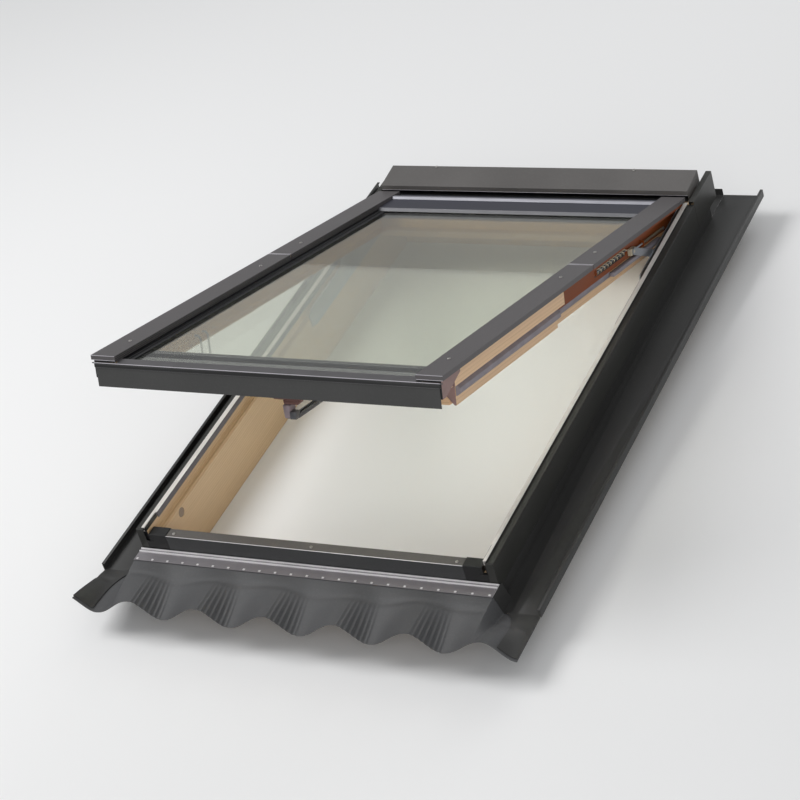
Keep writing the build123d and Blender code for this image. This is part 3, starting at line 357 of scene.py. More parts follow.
@dataclass(frozen=True)
class Lacquer(Finish):
    """Coil-coated sheet: a fine orange peel, slow tone changes and faint dust."""

    peel: float = 0.012 * MM
    peel_scale: float = 1100.0
    dust: float = 0.1
    dust_scale: float = 260.0
    dust_shade: float = 3.2
    shine: float = 0.45

    def dress(self, shader: Shader) -> None:
        """Tone, dust, peel and a roughness that wanders a little.

        Args:
            shader: the material's nodes.
        """
        even = shader.place()
        tone = shader.noise(even, 5.0, 4.0)
        specks = shader.noise(even, self.dust_scale, 3.0, 0.7)
        base = shader.tones(tone, self.colour, 0.9, 1.1)
        shader.set(
            Base_Color=shader.blend(shader.span(specks, 0.0, self.dust, 0.5, 0.8), base,
                                    shaded(self.colour, self.dust_shade)),
            Roughness=shader.span(tone, self.roughness - 0.04, self.roughness + 0.06),
            Normal=shader.bump(shader.noise(even, self.peel_scale, 1.0), self.peel, 0.5),
            Specular_IOR_Level=self.shine,
        )


@dataclass(frozen=True)
class Metal(Finish):
    """Bare metal: drawn streaks along its run, or zinc spangle."""

    lie: Lie = Lie.ALONG_FRAME
    spangle: bool = False
    spangle_scale: float = 420.0
    streak: float = 0.02 * MM
    streak_stretch: Point = (1400.0, 14.0, 1400.0)
    sheen: float = 1.0

    def dress(self, shader: Shader) -> None:
        """Streaks or spangle, in colour, roughness and bump.

        Args:
            shader: the material's nodes.
        """
        if self.spangle:
            cells = shader.add("ShaderNodeTexVoronoi", Vector=shader.place(self.lie),
                               Scale=self.spangle_scale)
            pattern = shader.add("ShaderNodeSeparateColor", Color=cells.outputs["Color"]).outputs[0]
            reach = 0.0, 1.0
        else:
            pattern = shader.noise(shader.place(self.lie, self.streak_stretch), 1.0, 2.0)
            reach = 0.3, 0.7
        wander = shader.noise(shader.place(self.lie), 24.0, 3.0)
        base = shader.tones(wander, self.colour, 0.9, 1.06)
        shader.set(
            Base_Color=shader.blend(shader.span(pattern, 0.0, 0.35, *reach), base,
                                    shaded(self.colour, 0.8)),
            Metallic=self.sheen,
            Roughness=shader.span(pattern, self.roughness - 0.06, self.roughness + 0.08, *reach),
            Normal=shader.bump(pattern, self.streak, 0.35),
        )


@dataclass(frozen=True)
class Moulding(Finish):
    """Moulded plastic or rubber with a fine spark-eroded grain."""

    grain: float = 0.02 * MM
    fineness: float = 1600.0
    shine: float = 0.5

    def dress(self, shader: Shader) -> None:
        """Grain in bump and roughness over a slightly uneven colour.

        Args:
            shader: the material's nodes.
        """
        even = shader.place()
        grain = shader.noise(even, self.fineness, 2.0, 0.6)
        shader.set(
            Base_Color=shader.tones(shader.noise(even, 38.0, 3.0), self.colour, 0.88, 1.12),
            Roughness=shader.span(grain, self.roughness - 0.06, self.roughness + 0.08),
            Normal=shader.bump(grain, self.grain, 0.6),
            Specular_IOR_Level=self.shine,
        )


@dataclass(frozen=True)
class Glass(Finish):
    """Float glass with a slight grey-green body and a trace of dust, clear to the lamps."""

    shine: float = 0.22
    passes: float = 0.76

    def dress(self, shader: Shader) -> None:
        """A see-through body, faintly uneven, that lets the lamps light what is behind it.

        Args:
            shader: the material's nodes.
        """
        film = shader.noise(shader.place(), 7.0, 4.0)
        shader.set(
            Base_Color=self.colour,
            Transmission_Weight=1.0,
            Roughness=shader.span(film, 0.0, self.roughness),
            IOR=1.45,
            Specular_IOR_Level=self.shine,
        )
        passed = shader.add("ShaderNodeBsdfTransparent", Color=(self.passes,) * 3)
        path = shader.add("ShaderNodeLightPath")
        mixed = shader.add("ShaderNodeMixShader", Fac=path.outputs["Is Shadow Ray"])
        shader.feed(mixed.inputs[1], shader.surface.outputs["BSDF"])
        shader.feed(mixed.inputs[2], passed.outputs["BSDF"])
        shader.feed(shader.output.inputs["Surface"], mixed.outputs["Shader"])


FRAME_TIMBER: Colour = (0.74, 0.54, 0.33)
SASH_TIMBER: Colour = (0.78, 0.52, 0.3)
COVER = "cover_paint"
BRIGHT = "bright_aluminium"

JAMB_PINE = Pine("jamb_pine", "pine", FRAME_TIMBER, 0.42)
CROSS_PINE = Pine("cross_pine", "pine", FRAME_TIMBER, 0.42, Lie.ACROSS_FRAME, (0.1, 0.62, 0.24))
STILE_PINE = Pine("stile_pine", "pine", SASH_TIMBER, 0.4, Lie.ALONG_SASH, (0.27, 0.0, 0.4))
RAIL_PINE = Pine("rail_pine", "pine", SASH_TIMBER, 0.4, Lie.ACROSS_SASH, (0.3, 0.6, 0.2))
PLUG_PINE = Pine("plug_pine", "plug_wood", (0.33, 0.25, 0.19), 0.5, ring_pitch=2.2 * MM)
FRAME_LACQUER = Lacquer("frame_lacquer", COVER, (0.033, 0.033, 0.03), 0.36)
SASH_LACQUER = Lacquer("sash_lacquer", COVER, (0.084, 0.077, 0.079), 0.42)
HOOD_LACQUER = Lacquer("hood_lacquer", COVER, (0.115, 0.109, 0.105), 0.42)
SILL_LACQUER = Lacquer("sill_lacquer", COVER, (0.05, 0.051, 0.052), 0.34)
# The sill cover's paint made lighter for its upward faces, as painted light.
SILL_TOP_LIT_LACQUER = Lacquer("sill_top_lit_lacquer", COVER, (0.105, 0.098, 0.09), 0.34)
FASCIA_LACQUER = Lacquer("fascia_lacquer", COVER, (0.047, 0.047, 0.046), 0.45)
FLASHING_LACQUER = Lacquer("flashing_lacquer", "flashing_paint", (0.033, 0.033, 0.032), 0.45)
APRON_LACQUER = Lacquer("apron_lacquer", "apron_paint", (0.072, 0.073, 0.076), 0.6, dust=0.12)
ARM_LACQUER = Lacquer("arm_lacquer", "arm_paint", (0.23, 0.055, 0.012), 0.42, dust=0.05, shine=0.2)
NAVY_METAL = Lacquer("navy_metal", BRIGHT, (0.04, 0.041, 0.055), 0.4, shine=0.3)
TRIM_METAL = Metal("trim_metal", BRIGHT, (0.8, 0.77, 0.73), 0.42, sheen=0.15)
CROSS_METAL = Metal("cross_metal", BRIGHT, (0.3, 0.285, 0.3), 0.42, Lie.ACROSS_FRAME, sheen=0.6)
BRIGHT_METAL = Metal("bright_metal", BRIGHT, (0.86, 0.84, 0.85), 0.35, Lie.ACROSS_FRAME, sheen=0.3)
CLAMP_METAL = Metal("clamp_metal", BRIGHT, (0.13, 0.125, 0.13), 0.4, Lie.ACROSS_SASH, sheen=0.4)
RIDGE_METAL = Metal("ridge_metal", BRIGHT, (0.58, 0.56, 0.6), 0.36, Lie.ACROSS_SASH, sheen=0.3)
# A lighter metal for the head profile's ridge, as a painted highlight.
RIDGE_HIGHLIGHT_METAL = Metal("ridge_highlight_metal", BRIGHT, (0.27, 0.27, 0.3), 0.42, Lie.ACROSS_SASH, sheen=0.3)
LIP_METAL = Metal("lip_metal", BRIGHT, (0.13, 0.13, 0.14), 0.42, Lie.ACROSS_SASH, sheen=0.3)
ZINC = Metal("zinc", "zinc_steel", (0.42, 0.44, 0.48), 0.36, spangle=True, sheen=0.8)
SPRING_WIRE = Metal("spring_wire", "spring_steel", (0.16, 0.11, 0.06), 0.34, sheen=0.6)
STAY_WIRE = Metal("stay_wire", "spring_steel", (0.66, 0.58, 0.42), 0.3, sheen=0.5)
SCREW_METAL = Metal("screw_metal", "screw_steel", (0.5, 0.48, 0.46), 0.32, spangle=True)
CASE_METAL = Metal("case_metal", "case_metal", (0.42, 0.42, 0.43), 0.42, spangle=True)
SEAL = Moulding("seal", "seal_rubber", (0.15, 0.145, 0.165), 0.55, fineness=900.0)
GASKET = Moulding("gasket", "seal_rubber", (0.25, 0.225, 0.25), 0.5, fineness=900.0)
# Black rubber of the beads, also laid on timber and sheet faces in dark recesses as painted shade.
BEAD_AND_SHADE = Moulding("bead", "bead_rubber", (0.012, 0.012, 0.014), 0.5, fineness=900.0)
BLACK_PLASTIC = Moulding("black_plastic", "black_plastic", (0.012, 0.012, 0.012), 0.42)
BROWN_PLASTIC = Moulding("brown_plastic", "cap_plastic", (0.27, 0.17, 0.155), 0.45)
HANDLE_PLASTIC = Moulding("handle_plastic", "cap_plastic", (0.13, 0.052, 0.042), 0.42)
NECK_PLASTIC = Moulding("neck_plastic", "lever_paint", (0.27, 0.215, 0.235), 0.4)
SHOE_PLASTIC = Moulding("shoe_plastic", "shoe_plastic", (0.6, 0.54, 0.4), 0.4)
LEVER_LACQUER = Moulding("lever_lacquer", "lever_paint", (0.09, 0.092, 0.1), 0.32)
CLEAR_GLASS = Glass("clear_glass", "clear_glass", (0.84, 0.86, 0.79), 0.015)


def select_only(*objects: bpy.types.Object) -> None:
    """Select these objects alone and make the first one active.

    Args:
        objects: the objects.
    """
    if bpy.context.object is not None and bpy.context.object.mode != "OBJECT":
        bpy.ops.object.mode_set(mode="OBJECT")
    bpy.ops.object.select_all(action="DESELECT")
    for thing in objects:
        thing.select_set(True)
    bpy.context.view_layer.objects.active = objects[0]


def begin(add: Callable[..., set], **settings: object) -> bpy.types.Object:
    """Add a primitive with nothing else selected.

    Args:
        add: Blender's operator for the primitive.
        settings: the operator's settings.

    Returns:
        The new object.
    """
    bpy.ops.object.select_all(action="DESELECT")
    add(**settings)
    return bpy.context.object


def apply_modifier(thing: bpy.types.Object, kind: str, **settings: object) -> None:
    """Add a modifier with these settings and apply it.

    Args:
        thing: the object.
        kind: Blender's name of the modifier type.
        settings: the modifier's settings.
    """
    select_only(thing)
    modifier = thing.modifiers.new(kind.lower(), kind)
    for key, value in settings.items():
        setattr(modifier, key, value)
    bpy.ops.object.modifier_apply(modifier=modifier.name)


def ease_edges(thing: bpy.types.Object, width: float, segments: int, sharp: float,
               **settings: object) -> None:
    """Round the edges of a piece.

    Args:
        thing: the piece.
        width: how far the rounding reaches from each edge, in metres.
        segments: the faces across each rounding.
        sharp: edges that turn by more than this many degrees are rounded.
        settings: further settings of the modifier.
    """
    apply_modifier(thing, "BEVEL", width=width, segments=segments, limit_method="ANGLE",
                   angle_limit=math.radians(sharp), use_clamp_overlap=True, harden_normals=True,
                   **settings)


def settle(thing: bpy.types.Object) -> None:
    """Put an object's place, turn and size into its mesh."""
    select_only(thing)
    bpy.ops.object.transform_apply(location=True, rotation=True, scale=True)


def finish_piece(thing: bpy.types.Object, name: str, finish: Finish, body: str, nodes: Iterable[str] = (),
                 smooth_angle: Optional[float] = PIECE_SMOOTH) -> bpy.types.Object:
    """Name, smooth, dress and hang up a finished piece.

    Args:
        thing: the piece, in place.
        name: its name.
        finish: its finish.
        body: the moving body that carries it.
        nodes: the plain solids that it stands for.
        smooth_angle: edges under this many degrees are shaded smooth, or None to leave them.

    Returns:
        The piece.
    """
    settle(thing)
    thing.name = name
    thing.data.name = name
    if smooth_angle is not None:
        bpy.ops.object.shade_smooth_by_angle(angle=math.radians(smooth_angle))
    thing.data.materials.clear()
    thing.data.materials.append(finish.material())
    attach(thing, body)
    if nodes:
        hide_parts(*nodes)
    LOG.info("%s: %d faces on %s", name, len(thing.data.polygons), body)
    return thing


def tint(thing: bpy.types.Object, finish: Finish, chosen: Callable[[bpy.types.MeshPolygon], bool]) -> None:
    """Give the chosen faces of a finished piece a second finish.

    Args:
        thing: the piece.
        finish: the finish of the chosen faces.
        chosen: tells whether a face is chosen.
    """
    thing.data.materials.append(finish.material())
    for face in thing.data.polygons:
        if chosen(face):
            face.material_index = len(thing.data.materials) - 1


@dataclass
class Bench:
    """Makes straight pieces from sizes in millimetres.

    X runs across the roof, Y up the slope from the front of the foot cover and Z out of the roof from
    the top of the side covers. The sash and the arms are given shut and set out at their open angle.
    """

    hinge: Vector
    foot: Vector = field(default_factory=lambda: Vector((0.0, -622.5, 105.0)) * MM)

    def placement(self, turned: bool) -> Matrix:
        """The matrix that carries the bench's axes to the window.

        Args:
            turned: whether it is for a piece that swings with the sash.

        Returns:
            The matrix.
        """
        shift = Matrix.Translation(self.foot)
        if not turned:
            return shift
        swing = Matrix.Rotation(-OPEN_ANGLE, 4, "X")
        return Matrix.Translation(self.hinge) @ swing @ Matrix.Translation(-self.hinge) @ shift

    def shut(self, point: Vector) -> Vector:
        """A point of the open sash in the bench's millimetres."""
        return (self.placement(True).inverted() @ point) / MM

    def cube(self, low: Point, high: Point, side: int, foot_share: float) -> bpy.types.Object:
        """One block between two corners.

        Args:
            low: its lowest corner, in millimetres.
            high: its highest corner.
            side: 1 as given, -1 for its mirror image on the left.
            foot_share: the size of its underside against its top.

        Returns:
            The block.
        """
        cube = begin(bpy.ops.mesh.primitive_cube_add, size=1.0)
        for vertex in cube.data.vertices:
            if vertex.co.z < 0:
                vertex.co.x *= foot_share
                vertex.co.y *= foot_share
        middle = (Vector(low) + Vector(high)) / 2 * MM
        cube.scale = (Vector(high) - Vector(low)) * MM
        cube.location = (side * middle.x, middle.y, middle.z)
        settle(cube)
        return cube

    def slabs(self, name: str, finish: Finish, body: str, boxes: Iterable[Box], turned: bool = False,
              both: bool = False, ease: float = 0.2 * MM, foot_share: float = 1.0,
              nodes: Iterable[str] = ()) -> bpy.types.Object:
        """A piece of one or more blocks.

        Args:
            name: the piece's name.
            finish: its finish.
            body: the moving body that carries it.
            boxes: the two corners of each block, in millimetres.
            turned: whether it is set out at the open angle.
            both: whether the left side has it too.
            ease: how far its edges are rounded.
            foot_share: the size of a block's underside against its top.
            nodes: the plain solids that it stands for.

        Returns:
            The piece.
        """
        cubes = [self.cube(low, high, side, foot_share)
                 for side in ((1, -1) if both else (1,)) for low, high in boxes]
        select_only(*cubes)
        if len(cubes) > 1:
            bpy.ops.object.join()
        piece = bpy.context.object
        piece.matrix_world = self.placement(turned)
        settle(piece)
        ease_edges(piece, ease, ROUNDED, BLOCK_SHARP)
        return finish_piece(piece, name, finish, body, nodes, BLOCK_SHARP)


@dataclass
class Solids:
    """The plain solids of the frame, which the pieces take their shape and place from."""

    frame: dict
    weld: float = 0.004 * MM
    flat_angle: float = 0.6

    def node(self, name: str) -> bpy.types.Object:
        """The plain solid of that name."""
        return self.frame["nodes"][name]

    def body(self, name: str) -> str:
        """The moving body that carries the plain solid of that name."""
        return self.node(name)["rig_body"]

    def merged(self, name: str) -> bpy.types.Object:
        """A copy of a plain solid with its loose triangles joined into whole faces.

        Args:
            name: the solid's name.

        Returns:
            The copy.
        """
        copy = bpy.data.objects.new(name + "_copy", self.node(name).data.copy())
        bpy.context.scene.collection.objects.link(copy)
        copy.data.materials.clear()
        select_only(copy)
        kept_normals = copy.data.attributes.get("custom_normal")
        if kept_normals is not None:
            copy.data.attributes.remove(kept_normals)
        bpy.ops.object.mode_set(mode="EDIT")
        bpy.ops.mesh.select_all(action="SELECT")
        bpy.ops.mesh.remove_doubles(threshold=self.weld)
        bpy.ops.mesh.dissolve_limited(angle_limit=math.radians(self.flat_angle))
        bpy.ops.object.mode_set(mode="OBJECT")
        return copy

    def eased(self, name: str, finish: Finish, radius: float, segments: int = ROUNDED) -> bpy.types.Object:
        """A piece that follows a plain solid, with its sharp edges rounded.

        Args:
            name: the solid's name.
            finish: the finish of the piece.
            radius: how far the rounding reaches from each edge, in metres.
            segments: the faces across each rounding.

        Returns:
            The piece.
        """
        piece = self.merged(name)
        select_only(piece)
        bpy.ops.object.shade_smooth_by_angle(angle=math.radians(SOLID_SHARP))
        ease_edges(piece, radius, segments, SOLID_SHARP, miter_outer="MITER_SHARP")
        return finish_piece(piece, name + "_eased", finish, self.body(name), [name], smooth_angle=None)

    def islands(self, name: str, axis: Vector) -> list[Vector]:
        """The foot of each separate solid of a node, where its axis leaves the surface.

        Args:
            name: the node's name.
            axis: the direction in which the solids stand.

        Returns:
            One point for each solid.
        """
        copy = self.merged(name)
        shape = bmesh.new()
        shape.from_mesh(copy.data)
        bpy.data.objects.remove(copy)
        left = set(shape.verts)
        feet = []
        for first in shape.verts:
            if first not in left:
                continue
            left.discard(first)
            heap, group = [first], []
            while heap:
                vertex = heap.pop()
                group.append(vertex.co.copy())
                for edge in vertex.link_edges:
                    other = edge.other_vert(vertex)
                    if other in left:
                        left.discard(other)
                        heap.append(other)
            middle = sum(group, Vector()) / len(group)
            lowest = min(point.dot(axis) for point in group)
            feet.append(middle + axis * (lowest - middle.dot(axis)))
        shape.free()
        return sorted(feet, key=lambda point: (point.x, point.y))


@dataclass
class TimberFrame:
    """Pine jambs, head and sill with their plugs, angles and keeper."""

    solids: Solids
    arris: float = 1.1 * MM
    plug_arris: float = 0.4 * MM
    steel_arris: float = 0.3 * MM
    foot_facing: float = -0.9
    top_facing: float = 0.2

    def build(self) -> None:
        """Round the timber's edges and dress it, with the jambs' foot ends black and the head's top faces
        black as painted shade under the hood.
        """
        for side in SIDES:
            jamb = self.solids.eased(f"jamb_{side}", JAMB_PINE, self.arris, FULL_ROUND)
            tint(jamb, BEAD_AND_SHADE, lambda face: face.normal.y < self.foot_facing)
        head = self.solids.eased("frame_head", CROSS_PINE, self.arris, FULL_ROUND)
        # Painted shade: the head's upward faces are black, standing in for the dark recess under the hood.
        tint(head, BEAD_AND_SHADE, lambda face: face.normal.z > self.top_facing)
        self.solids.eased("frame_sill", CROSS_PINE, self.arris, FULL_ROUND)
        self.solids.eased("jamb_plugs", PLUG_PINE, self.plug_arris)
        for name in ("mounting_angles", "lock_keeper"):
            self.solids.eased(name, ZINC, self.steel_arris)


@dataclass
class FrameCovers:
    """Folded sheet round the frame: covers, hood, trims, strip, gutters and seals."""

    solids: Solids
    bench: Bench
    fold: float = 0.5 * MM
    trim_arris: float = 0.3 * MM
    seal_arris: float = 0.4 * MM
    block_arris: float = 0.8 * MM
    top_facing: float = 0.9
    hood_shade_line: float = -3.0
    strip_beads: float = -47.6
    gutter_foot: float = -33.4
    corner_lug: Box = ((368.05, 0.3, -6.0), (369.7, 4.9, 3.0))
    sill_edge: Box = ((-324.6, -0.1, -12.6), (324.6, 1.3, -11.8))
    trim_lip: Box = ((366.8, 50.0, 3.3), (369.9, 1160.0, 4.5))
    hood_highlight_strip: Box = ((-372.6, 1177.3, 11.6), (372.6, 1178.9, 12.6))

    def build(self) -> None:
        """Round the folds, dress the sheets and add their bright edges; the hood's underside is painted
        shade, the sill cover's top a painted lighter tone and the hood's edge a painted highlight.
        """
        for name in ("side_cover_left", "side_cover_right", "upper_side_covers"):
            self.solids.eased(name, FRAME_LACQUER, self.fold, FULL_ROUND)
        sill_cover = self.solids.eased("bottom_cover", SILL_LACQUER, self.fold, FULL_ROUND)
        # Painted light: the sill cover's upward faces get a lighter copy of its paint.
        tint(sill_cover, SILL_TOP_LIT_LACQUER, lambda face: face.normal.z > self.top_facing)
        hood = self.solids.eased("hood", HOOD_LACQUER, self.fold, FULL_ROUND)
        # Painted shade: the hood's faces below this height are black, as in the dark recess under it.
        floor = self.bench.foot.z + self.hood_shade_line * MM
        tint(hood, BEAD_AND_SHADE, lambda face: face.center.z < floor)
        self.solids.eased("head_flashing", FLASHING_LACQUER, self.fold, FULL_ROUND)
        self.solids.eased("edge_trims", TRIM_METAL, self.trim_arris)
        self.solids.eased("frame_seals", SEAL, self.seal_arris)
        self.solids.eased("corner_blocks", BLACK_PLASTIC, self.block_arris, FULL_ROUND)
        for side in SIDES:
            self.gutter(side)
        self.strip()
        self.bench.slabs("corner_lugs", BLACK_PLASTIC, "frame", [self.corner_lug], both=True)
        self.bench.slabs("sill_cover_edge", BRIGHT_METAL, "frame", [self.sill_edge])
        self.bench.slabs("trim_lips", TRIM_METAL, "frame", [self.trim_lip], both=True)
        # Painted highlight: a light strip along the hood's lower front edge.
        self.bench.slabs("hood_highlight_edge", RIDGE_METAL, "frame", [self.hood_highlight_strip])

    def gutter(self, side: str) -> None:
        """A side gutter without its tongue, which is a piece of its own.

        Args:
            side: left or right.
        """
        piece = self.solids.merged(f"gutter_{side}")
        cut = self.bench.foot.y + self.gutter_foot * MM
        select_only(piece)
        bpy.ops.object.mode_set(mode="EDIT")
        bpy.ops.mesh.select_all(action="SELECT")
        bpy.ops.mesh.bisect(plane_co=(0, cut, 0), plane_no=(0, 1, 0), clear_inner=True, use_fill=True)
        bpy.ops.object.mode_set(mode="OBJECT")
        ease_edges(piece, self.fold, FULL_ROUND, SOLID_SHARP)
        finish_piece(piece, f"gutter_{side}_folded", FLASHING_LACQUER, "frame", [f"gutter_{side}"])

    def strip(self) -> None:
        """The sill strip, with its beads and clinch ticks painted bright as a highlight."""
        piece = self.solids.eased("sill_strip", CROSS_METAL, self.trim_arris)
        foot, top = self.bench.foot.y, self.bench.foot.z + self.strip_beads * MM
        # Painted highlight: the beads and ticks at the strip's top get a much brighter copy of its metal.
        tint(piece, BRIGHT_METAL, lambda face: face.center.z > top and face.center.y < foot)


@dataclass
class TileApron:
    """Pleated skirt below the sill, dressed down to the roof tiles, and the sheets that lap it."""

    pitch: float = 151.6 * MM
    depth: float = 40.0 * MM
    crest_x: float = -38.0 * MM
    steep: float = 60.0 * MM
    flow: float = 0.35
    pleats: int = 7
    pleat_depth: float = 2.6 * MM
    pleat_start: float = 0.3
    pleat_run: float = 0.45
    pleat_edge: float = 1.4
    pleat_fade: float = 0.5
    crease_at: float = 0.3
    crease_width: float = 0.05
    crease_depth: float = 2.2 * MM
    sway: float = 0.05
    sway_rate: float = 17.0
    strip_half: float = 392.0 * MM
    strip_gap: float = 0.1 * MM
    wing_run: float = 12.0 * MM
    wing_z: float = 15.6 * MM
    thickness: float = 1.1 * MM
    foot_margin: float = 0.3 * MM
    cells: tuple[int, int] = (860, 30)
    tongue_in: float = 408.0 * MM
    tongue_flare: float = 34.0 * MM
    flare_rate: float = 4.5
    tongue_length: float = 111.0 * MM
    tongue_lap: float = 2.2 * MM
    tongue_lift: float = 1.5 * MM
    tongue_margin: float = 0.2 * MM
    tongue_thickness: float = 0.9 * MM
    tongue_cells: tuple[int, int] = (40, 30)
    end_length: float = 40.0 * MM
    end_lap: float = 0.3 * MM
    end_cells: tuple[int, int] = (24, 4)
    low: Vector = field(init=False)
    high: Vector = field(init=False)
    top: float = field(init=False)
    crest: float = field(init=False)

    def profile(self, x: float) -> tuple[float, float, float]:
        """The lower edge at a place across the roof.

        Args:
            x: the place, in metres.

        Returns:
            The drop below a tile crest, the pleat's height there and how near the flank's middle it is.
        """
        along = (x - self.crest_x) % self.pitch
        if along < self.steep:
            share = along / self.steep
            drop = self.depth * (1 - math.cos(math.pi * share)) / 2
            phase = (share * self.pleats) % 1.0
            ridge = 1 - abs(2 * phase - 1)
            return drop, ridge ** self.pleat_edge, math.sin(math.pi * share) ** self.pleat_fade
        share = (along - self.steep) / (self.pitch - self.steep)
        return self.depth * (1 + math.cos(math.pi * share)) / 2, 0.0, 0.0

    def height(self, x: float, fall: float) -> float:
        """How high the sheet's upper face lies.

        Args:
            x: the place across the roof, in metres.
            fall: the share of the way down from the strip.

        Returns:
            The height, in metres.
        """
        drop, ridge, near = self.profile(x)
        if abs(x) > self.strip_half:
            ridge = 0.0
        wing = min(max((abs(x) - self.strip_half) / self.wing_run, 0.0), 1.0)
        start = self.top - wing * (self.top - self.wing_z)
        end = self.crest - drop
        eased = fall * fall * (3 - 2 * fall) * self.flow + fall * (1 - self.flow)
        line = self.crease_at + self.sway * math.sin(self.sway_rate * x)
        crease = self.crease_depth * math.exp(-((fall - line) / self.crease_width) ** 2)
        grown = min(max((fall - self.pleat_start) / self.pleat_run, 0.0), 1.0)
        fold = self.pleat_depth * ridge * near * grown
        return max(start + (end - start) * eased - crease * (1 - fall) + fold, self.low.z + self.thickness)

    def build(self) -> None:
        """Lay the apron over the tiles, then the gutters' tongues and its upper ends on each side."""
        self.low, self.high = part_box("apron")
        self.low.y += self.foot_margin
        self.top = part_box("sill_strip")[0].z - self.strip_gap - self.thickness / 2
        self.crest = self.low.z + self.depth + self.thickness
        self.sheet("pleated_apron", APRON_LACQUER, self.cells, self.apron_point, self.thickness, -1.0,
                   ["apron"])
        for side, sign in SIDES.items():
            self.sheet(f"gutter_tongue_{side}", FLASHING_LACQUER, self.tongue_cells,
                       lambda across, down: self.tongue_point(sign, across, down), self.tongue_thickness)
            self.sheet(f"apron_end_{side}", FLASHING_LACQUER, self.end_cells,
                       lambda across, down: self.end_point(sign, across, down), self.thickness)

    def sheet(self, name: str, finish: Finish, cells: tuple[int, int],
              point: Callable[[float, float], Point], thickness: float, offset: float = 0.0,
              nodes: Iterable[str] = ()) -> None:
        """A thin sheet on a grid.

        Args:
            name: the piece's name.
            finish: its finish.
            cells: how many cells it has across and down.
            point: gives the place of a point from its shares of the way across and down.
            thickness: its thickness, in metres.
            offset: where the thickness lies, from -1 under the grid to 0 on both sides of it.
            nodes: the plain solids that it stands for.
        """
        sheet = begin(bpy.ops.mesh.primitive_grid_add, x_subdivisions=cells[0], y_subdivisions=cells[1],
                      size=1.0)
        for vertex in sheet.data.vertices:
            vertex.co = point(vertex.co.x + 0.5, 0.5 - vertex.co.y)
        apply_modifier(sheet, "SOLIDIFY", thickness=thickness, offset=offset)
        finish_piece(sheet, name, finish, "frame", nodes, SHEET_SMOOTH)

    def apron_point(self, across: float, down: float) -> Point:
        """A point of the apron, creased under the strip and pleated over the tiles' flanks."""
        x = self.low.x + (self.high.x - self.low.x) * across
        return x, self.low.y + (self.high.y - self.low.y) * (1 - down), self.height(x, down)

    def tongue_point(self, sign: int, across: float, down: float) -> Point:
        """A point of the smooth end of a side gutter, dressed down over the apron.

        Args:
            sign: 1 for the right side, -1 for the left.
            across: the share of the way outwards.
            down: the share of the way down.

        Returns:
            The point.
        """
        inner = self.tongue_in + self.tongue_flare * (1 - math.exp(-self.flare_rate * down))
        x = sign * (inner + (self.high.x - inner - self.tongue_margin) * across)
        y = self.high.y + self.tongue_lap - down * (self.tongue_length + self.tongue_lap)
        fall = min(max((self.high.y - y) / (self.high.y - self.low.y), 0.0), 1.0)
        return x, y, self.height(x, fall) + self.tongue_lift

    def end_point(self, sign: int, across: float, down: float) -> Point:
        """A point of the apron's steep end, carried on up the slope to the side cover's foot."""
        x = sign * (self.strip_half + self.wing_run * across)
        return x, self.high.y - self.end_lap + self.end_length * (1 - down), self.height(x, 0.0)


@dataclass(frozen=True)
class Spring:
    """A coiled wire along an arm, with its middle line and run shut, in millimetres."""

    finish: Finish
    x: float
    z: float
    start: float
    end: float
    radius: float
    wire: float
    turns: int


